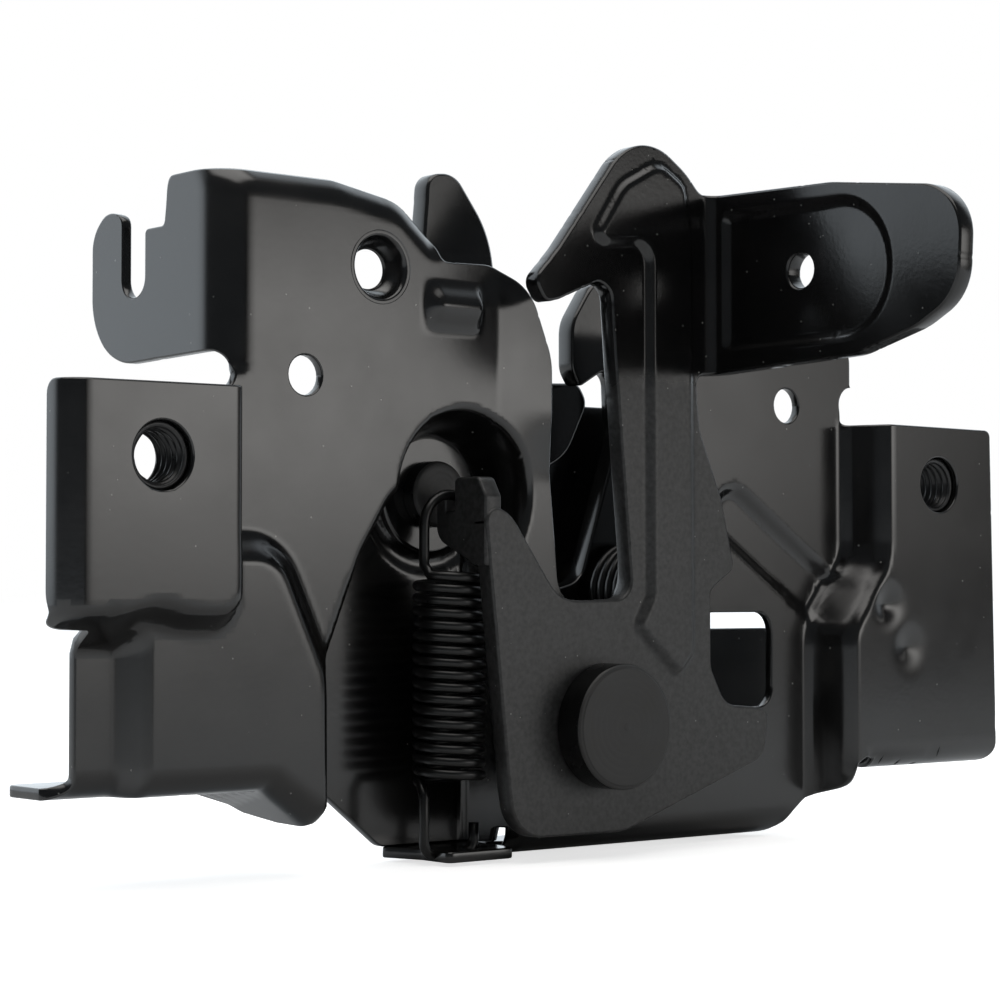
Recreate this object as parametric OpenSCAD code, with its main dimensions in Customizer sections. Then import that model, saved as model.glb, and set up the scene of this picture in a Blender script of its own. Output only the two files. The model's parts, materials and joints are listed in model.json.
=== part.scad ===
// Bonnet latch: a pressed base plate that carries a spring-loaded safety hook with a pull handle
// and, behind the plate, the main hook, its release pawl and the striker lifter.
// X runs across the latch, Y to the rear, Z up. The origin lies midway between the two
// mounting bolts, on the rear face of the mounting pads where the weld nuts sit.

/* [Base plate] */
// Thickness of the pressed base sheet
sheet_t = 1.6; // [1.2:0.1:2.2]
// Inside radius of the sharp folds
bend_r = 2; // [1:0.25:3]
// Distance between the two mounting bolts
bolt_span = 152.6; // [148:0.2:158]
// Hole in each mounting pad
pad_hole_d = 9.2; // [8.6:0.1:10]
// Height of the pads above the bolt line
pad_top = 9.5; // [8:0.25:11]
// Depth of the left pad below the bolt line
left_pad_drop = 22; // [20:0.5:24]
// Depth of the lower flanges below the bolt line
skirt_drop = 45; // [43:0.5:47]
// Width of a pad from the bolt to its outer edge
pad_reach = 14.4; // [13:0.2:16]
// How far the main panel lies behind the pads
plate_step = 8; // [7:0.25:9]
// Room between the corner of a weld nut and the pad's inner wall
nut_room = 5.8; // [4:0.1:7]
// Width of the weld nuts across flats
nut_flat = 14; // [13:0.5:15]
// Top edge of the left half of the panel
panel_top = 40.5; // [38:0.5:43]
// Top edge of the right half of the panel
right_top = 24; // [20:0.5:28]
// Lower edge of the panel at the spring shelf
panel_bottom = 55; // [53:0.5:57]
// How much lower the right part of the panel ends
right_dip = 1.6; // [0:0.2:2]
// Locating holes in the panel
locator_d = 5.6; // [4.5:0.1:6.5]
// Locating holes to either side of the middle
locator_x = 48; // [46:0.2:50]
// Height of the locating holes
locator_z = 12.4; // [11:0.2:14]
// Forward step of the lower left panel, measured from the main panel
apron_step = 2.5; // [1.5:0.25:3]
// Depth of the bottom flange
flange_depth = 17; // [14:0.5:20]
// Depth of the spring channel pressed into the panel
channel_depth = 9; // [8:0.25:10]

/* [Striker slot] */
// Middle of the slot
slot_x = 4; // [3:0.25:5]
// Width of the slot
slot_w = 16; // [14:0.5:17]
// Floor of the slot below the bolt line
slot_floor = 20; // [18:0.5:21]

/* [Cable bracket] */
// Rear reach of the bracket behind the pads
bracket_reach = 42; // [40:0.5:44]
// Width of the cable slot
cable_slot_w = 5.9; // [5:0.1:7]
// Cable line behind the pads
cable_y = 30.6; // [29.5:0.1:31.5]
// Height of the cable line
cable_z = 27; // [25.5:0.25:28]

/* [Safety hook] */
// Thickness of the hook plate
hook_t = 3; // [2.5:0.1:3.5]
// Pivot of the safety hook across the latch
safety_x = 0.5; // [-0.5:0.25:1.5]
// Pivot of the safety hook below the bolt line
safety_drop = 37.6; // [36.5:0.1:38.5]
// Shank of the pivot rivet
safety_pin_d = 10; // [9:0.25:11]
// Head of the pivot rivet
safety_head_d = 18.5; // [16:0.25:20]
// Height of the rivet head
safety_head_h = 5; // [4:0.25:6]
// Raised rib on the hook plate
rib_h = 0.8; // [0.5:0.1:1.2]
// Inner face of the pull handle
handle_x = 23; // [22.5:0.25:24.5]
// Forward reach of the handle in front of the pads
handle_reach = 49.6; // [46:0.2:54]
// Hole in the handle
handle_hole_d = 5.3; // [4.5:0.1:6]

/* [Springs] */
// Outside diameter of the safety spring
spring_od = 10.7; // [9.5:0.1:11.2]
// Wire of the safety spring
spring_wire = 1.5; // [1.2:0.05:1.7]
// Turns of the safety spring
spring_turns = 17; // [14:1:17]
// Wire of the hidden torsion springs
torsion_wire = 1.6; // [1.2:0.1:1.7]

/* [Latch mechanism] */
// Thickness of the main hook and the pawl
claw_t = 3.5; // [3:0.1:4]
// Thickness of the striker lifter
lifter_t = 2.5; // [2:0.1:3]
// Thickness of the rear cover plate
cover_t = 1.6; // [1.2:0.1:2]
// Pivot of the main hook across the latch
claw_x = 21; // [20.5:0.1:21.5]
// Pivot of the main hook below the bolt line
claw_drop = 18; // [17.5:0.1:18.5]
// Pivot of pawl and lifter, left of the middle
pawl_x = 19.6; // [19:0.1:20.2]
// Pivot of pawl and lifter below the bolt line
pawl_drop = 3.4; // [3:0.1:4]
// Shank of both mechanism rivets
pin_d = 8; // [7:0.25:9]
// Visible head of the pawl rivet
pawl_head_d = 9.8; // [9.4:0.1:11]

/* [Fits] */
// Radial clearance of a lever on its pin
running_gap = 0.05; // [0.02:0.01:0.09]
// End play between plates that slide on each other
end_play = 0.2; // [0.15:0.05:0.3]

/* [Hidden] */
$fn = 48;
arc_steps = 6;
over = 1;
washer_t = 0.6;
seat_gap = 0.05;

// Half the width of the panel between the pad walls
nut_corner = nut_flat / (2 * cos(30));
panel_half = bolt_span / 2 - nut_corner - nut_room;

// Depths, front to rear
pad_front = -sheet_t;
panel_front = pad_front + plate_step;
panel_back = panel_front + sheet_t;
apron_front = panel_front - apron_step;
floor_front = panel_front + channel_depth;
claw_front = floor_front + sheet_t + 2 * end_play;
claw_back = claw_front + claw_t;
pawl_washer_front = claw_back + end_play / 2;
lifter_front = pawl_washer_front + washer_t + end_play / 2;
cover_front = lifter_front + lifter_t + end_play;
cover_back = cover_front + cover_t;
hook_front = pad_front;
hook_back = hook_front + hook_t;

// Pivots in the X-Z plane
safety_at = [safety_x, -safety_drop];
claw_at = [claw_x, -claw_drop];
pawl_at = [-pawl_x, -pawl_drop];

// Safety spring and the tab of the hook that carries it
spring_mean = spring_od - spring_wire;
tab_x = -21.9;
tab_notch_y = pad_front + 8.5;
tab_notch_z = -4.6;
spring_at = [tab_x - 0.1, tab_notch_y];
coil_top = -15.3;
coil_pitch = spring_wire * 1.18;
coil_bottom = coil_top - spring_turns * coil_pitch;
shelf_top = -panel_bottom + sheet_t;
wire_room = 0.6;
tab_left = spring_at[0] - spring_mean / 2 + spring_wire / 2 + wire_room;
notch_floor = tab_notch_z - 1.6;

// Fold radius of the pad walls, drawn collar and spread of the pads
wall_r = min(bend_r + 0.6, (plate_step - sheet_t) / 2 - 0.2);
collar_at = [-34.9, 28.5];
collar_d = 6.4;
left_end = -bolt_span / 2 - pad_reach;
right_end = bolt_span / 2 + pad_reach;
lip_depth = 5.2;
lip_back = pad_front + lip_depth;
skirt = -skirt_drop;
corner_r = bend_r + sheet_t + 1.5;
apron_top = -12;

black = [0.09, 0.09, 0.1];
dark = [0.2, 0.2, 0.2];
steel = [0.42, 0.42, 0.43];
rubber_black = [0.05, 0.05, 0.05];

// Outline with round corners. Each corner is [u, v, radius].
function unit(v) = v / norm(v);
function flat(p) = [p[0], p[1]];
function near_turn(a) = a > 180 ? a - 360 : a < -180 ? a + 360 : a;
function angle_of(v) = atan2(v[1], v[0]);
function corner(a, b, c, r) =
    let (u = unit(a - b), w = unit(c - b), half = acos(max(-1, min(1, u * w))) / 2)
    r <= 0 || half > 89 ? [b] :
    let (
        centre = b + unit(u + w) * r / sin(half),
        first = angle_of(b + u * r / tan(half) - centre),
        turn = near_turn(angle_of(b + w * r / tan(half) - centre) - first)
    )
    [for (k = [0 : arc_steps])
        centre + r * [cos(first + turn * k / arc_steps), sin(first + turn * k / arc_steps)]];
function rounded(path) =
    let (n = len(path))
    [for (i = [0 : n - 1])
        each corner(flat(path[(i + n - 1) % n]), flat(path[i]), flat(path[(i + 1) % n]), path[i][2])];

// Section of a folded sheet: a line of folds, thickened to its left side.
function left_normal(v) = [-v[1], v[0]];
function step_of(path, i) = unit(path[i + 1] - path[i]);
function offset_point(path, i, d) =
    let (
        n = len(path),
        before = left_normal(step_of(path, max(i - 1, 0))),
        after = left_normal(step_of(path, min(i, n - 2)))
    )
    path[i] + (before + after) * d / (1 + before * after);
function bent(path, i) = cross(step_of(path, i - 1), step_of(path, i)) > 0;
function bends(path, left_r, right_r) =
    let (n = len(path))
    [for (i = [0 : n - 1])
        each (i == 0 || i == n - 1 ? [path[i]] :
            corner(path[i - 1], path[i], path[i + 1], bent(path, i) ? left_r : right_r))];
function reverse(list) = [for (i = [len(list) - 1 : -1 : 0]) list[i]];
function folded(path, t, r) =
    concat(
        bends(path, r + t, r),
        reverse(bends([for (i = [0 : len(path) - 1]) offset_point(path, i, t)], r, r + t))
    );

// Widened copy of a plain convex-cornered outline, for walls around a pressing
function widened(path, d) =
    let (n = len(path))
    [for (i = [0 : n - 1])
        let (
            b = flat(path[i]),
            before = left_normal(unit(b - flat(path[(i + n - 1) % n]))),
            after = left_normal(unit(flat(path[(i + 1) % n]) - b)),
            p = b - (before + after) * d / (1 + before * after)
        )
        [p[0], p[1], path[i][2] + d]];

// Plate that faces forward: a shape in X-Z between two depths
module slab(front, thick) {
    translate([0, front + thick, 0])
        rotate([90, 0, 0])
            linear_extrude(thick)
                children();
}

// Plate that faces sideways: a shape in Y-Z, from the given X
module side_slab(left, thick) {
    translate([left, 0, 0])
        rotate([90, 0, 90])
            linear_extrude(thick)
                children();
}

// Upright run of a section drawn in X-Y
module upright(bottom, top) {
    translate([0, 0, bottom])
        linear_extrude(top - bottom)
            children();
}

// Round bar along Y at a point in X-Z
module rod(at, d, front, back) {
    translate([at[0], front, at[1]])
        rotate([-90, 0, 0])
            cylinder(d = d, h = back - front);
}

// Wire bent along a path, with a six-sided section carried along it
function tangent(path, i) = unit(path[min(i + 1, len(path) - 1)] - path[max(i - 1, 0)]);
function carried(n, t) = unit(n - t * (n * t));
function normals(path, first) =
    [for (i = 0, n = carried(first, tangent(path, 0)); i < len(path);
        i = i + 1, n = i < len(path) ? carried(n, tangent(path, i)) : n) n];
module wire(path, d, first) {
    sides = 6;
    count = len(path);
    aside = normals(path, first);
    points = [for (i = [0 : count - 1])
        let (t = tangent(path, i), n = aside[i], m = cross(t, n))
        for (k = [0 : sides - 1])
            path[i] + d / 2 * (cos(360 * k / sides) * n + sin(360 * k / sides) * m)];
    skin = [for (i = [0 : count - 2])
        for (k = [0 : sides - 1])
            let (a = i * sides + k, b = i * sides + (k + 1) % sides)
            each [[a, a + sides, b], [b, a + sides, b + sides]]];
    ends = concat(
        [[for (k = [0 : sides - 1]) k]],
        [[for (k = [sides - 1 : -1 : 0]) (count - 1) * sides + k]]
    );
    polyhedron(points, concat(ends, skin));
}

// Base plate: outlines of its flat areas
left_edge = -panel_half + 8;
right_edge = panel_half - 6;
slot_left = slot_x - slot_w / 2;
slot_right = slot_x + slot_w / 2;
lower_wall_x = panel_half - 8.4;
apron_x = -panel_half + 8.4;
channel_left = -44;
channel_right = -10;
channel_top = 9;
panel_outline = [
    [left_edge, panel_top, 0],
    [-42, panel_top, 10],
    [-30.6, panel_top - 2, 8],
    [-24.8, 33.6, 2.5],
    [-23.6, 30.2, 1.5],
    [-14.5, 30.4, 6],
    [slot_left - 3.4, 27.4, 8],
    [slot_left + 0.4, 17, 12],
    [slot_left + 0.4, 6, 0],
    [slot_left + 3, -slot_floor, 5],
    [slot_right, -slot_floor, 5],
    [slot_right, right_top, 4],
    [panel_half + 0.8, right_top, 4],
    [panel_half + 0.8, pad_top + 0.7, 0],
    [right_edge, pad_top + 0.7, 0],
    [right_edge, -20, 0],
    [lower_wall_x - 6, -20, 0],
    [lower_wall_x - 6, skirt, 0],
    [lower_wall_x + 4, skirt, 0],
    [lower_wall_x + 1.6, skirt - 3.4, 3],
    [lower_wall_x - 10.5, -panel_bottom - right_dip, 5],
    [channel_right, -panel_bottom - right_dip, 0],
    [channel_right, -panel_bottom, 0],
    [channel_left + 14, -panel_bottom, 6],
    [channel_left - sheet_t, -panel_bottom + 12, 3],
    [channel_left - sheet_t, -28, 0],
    [apron_x, apron_top, 0],
    [left_edge, apron_top, 0]
];
channel_outline = [
    [channel_left, shelf_top + 11, 4],
    [channel_left + 15, shelf_top, 5],
    [channel_right, shelf_top, 2],
    [channel_right, channel_top - 3.5, 4],
    [channel_right - 5, channel_top, 5],
    [channel_right - 19, channel_top, 7],
    [channel_left + 8, channel_top - 8, 7],
    [channel_left + 8, -10, 6],
    [channel_left, -29, 6]
];
window_outline = [[28, -36.2, 3], [44.4, -36.2, 3], [44.4, -21.1, 3], [28, -21.1, 3]];
apron_end = channel_left - 11;
apron_outline = [
    [apron_x - 16, apron_top, 0],
    [apron_x, apron_top, 4],
    [channel_left - sheet_t, -29, 6],
    [channel_left, -36, 0],
    [channel_left, skirt - 3.6, 1],
    [channel_left - 3.8, skirt - 5.4, 1],
    [apron_end, skirt, 3],
    [apron_x - 16, skirt, 0]
];

module main_panel() {
    relief_d = 6.4;
    notch_low = pad_top + 0.1;
    slab(panel_front, sheet_t)
        difference() {
            union() {
                polygon(rounded(panel_outline));
                translate([-panel_half + 2, notch_low])
                    square([8, 6]);
            }
            polygon(rounded(channel_outline));
            polygon(rounded(window_outline));
            translate([panel_half + 2, pad_top + 3.4])
                circle(d = relief_d);
            translate([-panel_half, pad_top + 3])
                circle(d = relief_d - 1.2);
        }
    rod(collar_at, collar_d + 2 * sheet_t, panel_back, panel_back + 2.4);
}

// Closed corner of the left pad, where its side lip and bottom lip meet in a round sweep
module pad_corner() {
    translate([left_end + corner_r, 0, -left_pad_drop + corner_r])
        rotate([-90, 0, 0])
            rotate([0, 0, 90])
                rotate_extrude(angle = 90)
                    polygon(folded([
                        [0, pad_front],
                        [corner_r, pad_front],
                        [corner_r, lip_back]
                    ], sheet_t, bend_r));
}

module mounting_pads() {
    upright(-left_pad_drop + corner_r, pad_top)
        polygon(folded([
            [left_end, lip_back],
            [left_end, pad_front],
            [left_end + 20, pad_front]
        ], sheet_t, bend_r));
    upright(-left_pad_drop + corner_r, pad_top)
        polygon(folded([
            [left_end + 12, pad_front],
            [-panel_half, pad_front],
            [-panel_half, panel_front],
            [left_edge + over, panel_front]
        ], sheet_t, wall_r));
    side_slab(left_end + corner_r, -panel_half - left_end - corner_r)
        polygon(folded([
            [pad_front, -left_pad_drop + 8],
            [pad_front, -left_pad_drop],
            [lip_back, -left_pad_drop]
        ], sheet_t, bend_r));
    pad_corner();
    slab(pad_front, panel_back - pad_front)
        polygon([
            [-panel_half - sheet_t, -left_pad_drop],
            [-panel_half, -left_pad_drop],
            [-panel_half, -left_pad_drop + corner_r],
            [-panel_half - sheet_t, -left_pad_drop + corner_r]
        ]);
    right_folds = [[-20, pad_top, panel_half], [skirt, -20, lower_wall_x]];
    for (f = right_folds)
        upright(f[0], f[1])
            polygon(folded([
                [f[2] - 10, panel_front],
                [f[2], panel_front],
                [f[2], pad_front],
                [right_end, pad_front]
            ], sheet_t, wall_r));
    upright(-20 - sheet_t, -20)
        translate([lower_wall_x, pad_front])
            square([panel_half + wall_r - lower_wall_x, panel_back - pad_front]);
    side_slab(lower_wall_x + wall_r + sheet_t, right_end - lower_wall_x - wall_r - sheet_t)
        polygon(folded([
            [pad_front, skirt + 8],
            [pad_front, skirt - sheet_t],
            [lip_back, skirt - sheet_t]
        ], sheet_t, bend_r));
}

module apron() {
    flange_left = left_end + 4;
    strip_left = left_end + 7.3;
    fold_x = left_end + 14.9;
    strip_front = apron_front + 4.5;
    flange_end = apron_front + flange_depth;
    wall_x = channel_left - sheet_t;
    slab(apron_front, sheet_t)
        polygon(rounded(apron_outline));
    side_slab(-panel_half - sheet_t, apron_x + panel_half + sheet_t)
        polygon([
            [apron_front, apron_top - sheet_t],
            [panel_back, apron_top - sheet_t],
            [panel_back, apron_top],
            [apron_front, apron_top]
        ]);
    slab(apron_front, panel_back - apron_front)
        polygon([
            [apron_x - sheet_t, apron_top - sheet_t],
            [apron_x, apron_top],
            [wall_x, -28],
            [wall_x, -31.6]
        ]);
    side_slab(fold_x, apron_end - fold_x)
        polygon(folded([[apron_front, skirt + 12], [apron_front, skirt], [flange_end, skirt]], sheet_t, bend_r));
    side_slab(strip_left, fold_x - strip_left + sheet_t)
        polygon(folded([[strip_front, skirt + 12], [strip_front, skirt], [flange_end, skirt]], sheet_t, bend_r));
    upright(skirt, skirt + sheet_t)
        translate([flange_left, strip_front + bend_r + sheet_t])
            square([strip_left + over - flange_left, flange_end - strip_front - bend_r - sheet_t]);
    upright(skirt + bend_r + sheet_t, -left_pad_drop + sheet_t)
        polygon(folded([
            [strip_left, strip_front],
            [fold_x, strip_front],
            [fold_x, apron_front],
            [apron_x - 8, apron_front]
        ], sheet_t, 0.8));
    upright(-left_pad_drop, -left_pad_drop + sheet_t)
        translate([strip_left, lip_back - over])
            square([-panel_half - strip_left, strip_front + sheet_t - lip_back + over]);
    slab(apron_front, 9)
        polygon([
            [apron_end - 0.6, skirt],
            [channel_left - 3.8, skirt - 5.4],
            [channel_left - 2.9, skirt - 4.1],
            [apron_end, skirt + sheet_t]
        ]);
}

module spring_channel() {
    outer = widened(channel_outline, sheet_t);
    slab(panel_front, floor_front + sheet_t - panel_front)
        difference() {
            polygon(rounded(outer));
            polygon(rounded(channel_outline));
        }
    slab(floor_front, sheet_t)
        polygon(rounded(outer));
    slab(apron_front, plate_step)
        polygon([
            [channel_left - sheet_t, -29],
            [channel_left, -36],
            [channel_left, skirt - 3.6],
            [channel_left - sheet_t, skirt - 3.6]
        ]);
    rod(pawl_at, 17.5, floor_front - 0.8, floor_front + sheet_t);
}

module spring_shelf() {
    tab_right = channel_right - 3;
    upright(-panel_bottom, shelf_top)
        translate([tab_left, pad_front + 4.5])
            square([tab_right - tab_left, panel_front + over - pad_front - 4.5]);
    side_slab(channel_right, lower_wall_x - 2)
        polygon(folded([
            [panel_front, -panel_bottom + 8],
            [panel_front, -panel_bottom - right_dip],
            [panel_front + 12, -panel_bottom - right_dip]
        ], sheet_t, bend_r));
}

module cable_bracket() {
    bracket_x = -panel_half + 0.4;
    rear = pad_front + bracket_reach;
    seat_y = pad_front + cable_y;
    outline = [
        [panel_front - over, 15.5, 0],
        [rear - 8, 14.7, 3],
        [rear, 19, 5],
        [rear, 34, 3],
        [rear - 4, 37.3, 2.2],
        [seat_y + cable_slot_w / 2, 36, 0.8],
        [seat_y + cable_slot_w / 2, cable_z, 0],
        [seat_y - cable_slot_w / 2, cable_z, 0],
        [seat_y - cable_slot_w / 2, 33.6, 0.8],
        [seat_y - cable_slot_w / 2 - 5, 33.6, 0.8],
        [seat_y - cable_slot_w / 2 - 6, panel_top, 4],
        [panel_front - over, panel_top, 0]
    ];
    difference() {
        intersection() {
            upright(10, panel_top)
                polygon(folded([
                    [bracket_x, rear + over],
                    [bracket_x, panel_front],
                    [left_edge + over, panel_front]
                ], sheet_t, 2 * bend_r));
            side_slab(bracket_x - over, 12)
                polygon(rounded(outline));
        }
        translate([bracket_x - over, seat_y, cable_z])
            rotate([0, 90, 0])
                cylinder(d = cable_slot_w, h = sheet_t + 2 * over);
    }
    upright(panel_top - sheet_t, panel_top)
        translate([-54, panel_front])
            square([13, 6]);
}

module base_plate() {
    wire_hole_x = spring_at[0] + spring_mean / 2;
    color(black)
        difference() {
            union() {
                main_panel();
                mounting_pads();
                apron();
                spring_channel();
                spring_shelf();
                cable_bracket();
            }
            for (side = [-1, 1]) {
                rod([side * bolt_span / 2, 0], pad_hole_d, pad_front - over, over);
                rod([side * locator_x, locator_z], locator_d, panel_front - over, panel_back + over);
            }
            rod(collar_at, collar_d, panel_front - over, panel_back + 3);
            rod(safety_at, safety_pin_d + 2 * seat_gap, panel_front - over, panel_back + over);
            rod(claw_at, pin_d + 2 * seat_gap, panel_front - over, panel_back + over);
            rod(pawl_at, pin_d + 2 * seat_gap, floor_front - 2 * over, floor_front + sheet_t + over);
            translate([wire_hole_x, spring_at[1], -panel_bottom - over])
                cylinder(d = 2.6 * spring_wire, h = sheet_t + 2 * over);
            translate([tab_left - 4, spring_at[1] - spring_wire, -panel_bottom - over])
                cube([4, 2 * spring_wire, sheet_t + 2 * over]);
        }
}

// Weld nut behind a mounting pad
nut_h = 6.5;
nut_bore_d = 6.8;
module weld_nut(side) {
    at = [side * bolt_span / 2, 0];
    difference() {
        union() {
            slab(0, nut_h)
                translate(at)
                    circle(r = nut_corner, $fn = 6);
            rod(at, pad_hole_d - 2 * seat_gap, -0.6, 0);
        }
        rod(at, nut_bore_d, -over, nut_h + over);
    }
}
module weld_nut_left() {
    color(dark) weld_nut(-1);
}
module weld_nut_right() {
    color(dark) weld_nut(1);
}

// Safety hook: flat plate with hook, foot, spring tab and a handle folded forward
handle_top = 43.4;
handle_low = 16;
hook_outline = [
    [-12.8, 27.8, 2],
    [-10.6, 24.5, 1.6],
    [-7.9, 25.2, 1],
    [-0.2, 28.4, 1.5],
    [2.3, 27.2, 2.2],
    [3.1, 17, 0],
    [6.5, -18.9, 3],
    [-8, -19, 6],
    [-17.2, -6.6, 6],
    [tab_x, -4.7, 2],
    [tab_x, -8, 0],
    [-17.6, -46.2, 0],
    [-16.4, -53.4, 6],
    [4.8, -53.5, 12],
    [34.3, -43.6, 2.5],
    [35.6, -36, 2],
    [26, -35.2, 4],
    [22.9, -29.5, 3],
    [22.8, -17.6, 2],
    [28, -14.2, 1.5],
    [25.3, -3.6, 6],
    [20.6, 7, 10],
    [20.2, handle_low - 0.5, 1],
    [handle_x - 2, handle_low, 0],
    [handle_x - 2, handle_top, 0],
    [20.4, handle_top, 1],
    [17.8, 46.4, 5],
    [9.6, 51.6, 8],
    [3.4, 47.2, 10],
    [-8, 32.8, 14]
];
rib_outline = [
    [9.6, 41, 2],
    [10, -17.4, 3],
    [7.3, -22.2, 2],
    [15.8, -30.4, 2],
    [18.4, -26, 2],
    [18.2, 41, 2]
];

module handle() {
    front = pad_front - handle_reach;
    recess_end = front + 17;
    outline = [
        [hook_back, handle_low, 0],
        [pad_front - 0.6 * handle_reach, handle_low + 0.8, 12],
        [front + 8, handle_low + 4, 6],
        [front + 0.4, handle_low + 8, 5],
        [front - 0.2, handle_top - 7, 5],
        [front + 5, handle_top - 3.4, 4],
        [pad_front - 0.5 * handle_reach, handle_top - 0.8, 20],
        [hook_back, handle_top, 0]
    ];
    recess = [
        [hook_back + over, handle_low + 3.4, 0],
        [recess_end + 3, handle_low + 3.4, 9],
        [recess_end + 3, handle_top - 3.6, 9],
        [hook_back + over, handle_top - 3.6, 0]
    ];
    intersection() {
        difference() {
            union() {
                upright(handle_low - 1, handle_top + 1)
                    polygon(folded([
                        [handle_x - 4, hook_front],
                        [handle_x, hook_front],
                        [handle_x, front - over]
                    ], hook_t, bend_r));
                side_slab(handle_x + hook_t, rib_h)
                    polygon(rounded(recess));
            }
            side_slab(handle_x - over, over + rib_h)
                intersection() {
                    polygon(rounded(recess));
                    translate([front - over, handle_low - over])
                        square([handle_reach - 2, 40]);
                }
        }
        side_slab(handle_x - 4, hook_t + 4 + 2)
            polygon(rounded(outline));
    }
}

module safety_hook() {
    tab = [
        [hook_front, -14, 0],
        [hook_front, -4, 1],
        [hook_front + 2, -1.2, 1],
        [tab_notch_y - 1, -1.2, 0.8],
        [tab_notch_y - 1, notch_floor, 0.4],
        [tab_notch_y + 1, notch_floor, 0.4],
        [tab_notch_y + 1, -3, 0.6],
        [tab_notch_y + 3.2, -3.2, 1],
        [tab_notch_y + 3.2, -10, 3],
        [hook_back, -14, 0]
    ];
    hole_at = [pad_front - 18, 30.2];
    color(black)
        difference() {
            union() {
                slab(hook_front, hook_t)
                    polygon(rounded(hook_outline));
                slab(hook_front - rib_h, rib_h + over)
                    polygon(rounded(rib_outline));
                side_slab(tab_x, hook_t)
                    polygon(rounded(tab));
                handle();
            }
            rod(safety_at, safety_pin_d + 2 * running_gap, hook_front - over, hook_back + over);
            translate([handle_x - over, hole_at[0], hole_at[1]])
                rotate([0, 90, 0])
                    cylinder(d = handle_hole_d, h = hook_t + rib_h + 2 * over);
        }
}

// Pivot of the safety hook: headed rivet, spacer collar and spring washer
module safety_rivet() {
    head_back = hook_front - end_play;
    rim = 0.8;
    color(dark)
        union() {
            rod(safety_at, safety_head_d, head_back - safety_head_h + rim, head_back);
            rod(safety_at, safety_head_d - 2 * rim, head_back - safety_head_h, head_back);
            rod(safety_at, safety_pin_d, head_back - over, panel_back + 0.5);
            rod(safety_at, safety_pin_d + 4, panel_back, panel_back + 2);
        }
}
module safety_washer() {
    color(steel)
        difference() {
            rod(safety_at, safety_pin_d + 6, hook_back + end_play, hook_back + end_play + washer_t);
            rod(safety_at, safety_pin_d + 2 * seat_gap, hook_back, hook_back + 2);
        }
}
module safety_spacer() {
    color(steel)
        difference() {
            rod(safety_at, safety_pin_d + 6, hook_back + end_play + washer_t, panel_front);
            rod(safety_at, safety_pin_d + 2 * seat_gap, hook_back, panel_front + over);
        }
}

// Extension spring of the safety hook: close coil with a loop at each end
turn_points = 12;
function coil_point(a, z) =
    [spring_at[0] + spring_mean / 2 * cos(a), spring_at[1] + spring_mean / 2 * sin(a), z];
function loop_point(a, z, side) =
    [spring_at[0] - spring_mean / 2 * cos(a), spring_at[1], z + side * spring_mean / 2 * sin(a)];
bow_r = 2;
function bow_point(a, z, flank) =
    [spring_at[0] + flank * (spring_mean / 2 - bow_r) - bow_r * cos(a), spring_at[1], z - bow_r * sin(a)];
module safety_spring() {
    top_z = tab_notch_z + spring_wire / 2 + end_play - spring_mean / 2;
    low_z = -panel_bottom - spring_wire / 2 - end_play + bow_r;
    upper = [for (a = [170 : -20 : 10]) loop_point(a, top_z, 1)];
    coil = [for (i = [0 : spring_turns * turn_points])
        coil_point(180 + 360 * i / turn_points, coil_top - (coil_top - coil_bottom) * i / (spring_turns * turn_points))];
    lower = concat(
        [for (a = [0 : 22.5 : 90]) bow_point(a, low_z, -1)],
        [for (a = [90 : 22.5 : 180]) bow_point(a, low_z, 1)],
        [[spring_at[0] + spring_mean / 2, spring_at[1], shelf_top + 2]]
    );
    color(black)
        wire(concat(upper, coil, lower), spring_wire, [0, 1, 0]);
}

// Main hook that closes over the striker
claw_outline = [
    [claw_x + 9, -claw_drop - 6, 5],
    [claw_x + 11, 2, 8],
    [claw_x + 8, 24, 8],
    [claw_x + 1, 31.6, 4],
    [claw_x - 5, 31.6, 5],
    [claw_x - 9.8, 24.5, 6],
    [claw_x - 9.8, 17, 4],
    [claw_x - 8, 14.4, 0.8],
    [claw_x - 1, 18.4, 2],
    [claw_x - 0.4, 6, 4],
    [claw_x - 8, -claw_drop + 2, 4],
    [claw_x - 23, -claw_drop - 2, 1.5],
    [claw_x - 23, -claw_drop - 7, 2],
    [claw_x - 8, -claw_drop - 9, 5]
];
module main_hook() {
    color(dark)
        difference() {
            slab(claw_front, claw_t)
                polygon(rounded(claw_outline));
            rod(claw_at, pin_d + 2 * running_gap, claw_front - over, claw_back + over);
        }
}
module hook_rivet() {
    head_d = pin_d + 4;
    color(steel)
        union() {
            rod(claw_at, head_d, panel_front - 1.6, panel_front);
            rod(claw_at, pin_d, panel_front - over, cover_back + over);
            rod(claw_at, head_d, cover_back, cover_back + 2);
        }
}
module hook_spacer() {
    color(steel)
        difference() {
            rod(claw_at, pin_d + 4, panel_back, claw_front - end_play);
            rod(claw_at, pin_d + 2 * seat_gap, panel_back - over, claw_front);
        }
}
module hook_washer() {
    color(steel)
        difference() {
            rod(claw_at, pin_d + 2.4, claw_back + end_play, cover_front);
            rod(claw_at, pin_d + 2 * seat_gap, claw_back, cover_front + over);
        }
}

// Torsion spring around a pivot, with two straight legs
function torsion_path(at, mean, front, turns, pitch, first_leg, last_leg) =
    let (
        steps = turns * turn_points,
        round_part = [for (i = [0 : steps])
            [at[0] + mean / 2 * cos(360 * i / turn_points), front + pitch * i / turn_points,
                at[1] + mean / 2 * sin(360 * i / turn_points)]]
    )
    concat(
        [round_part[0] + [0, 0, -first_leg]],
        round_part,
        [round_part[steps] + last_leg * tangent(round_part, steps)]
    );
module hook_spring() {
    mean = pin_d + 4 + torsion_wire + 1;
    room = claw_front - panel_back - torsion_wire - 4 * end_play;
    turns = 4;
    color(steel)
        wire(torsion_path(claw_at, mean, panel_back + torsion_wire / 2 + end_play, turns, room / turns, 12, 10),
            torsion_wire, [1, 0, 0]);
}

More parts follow.
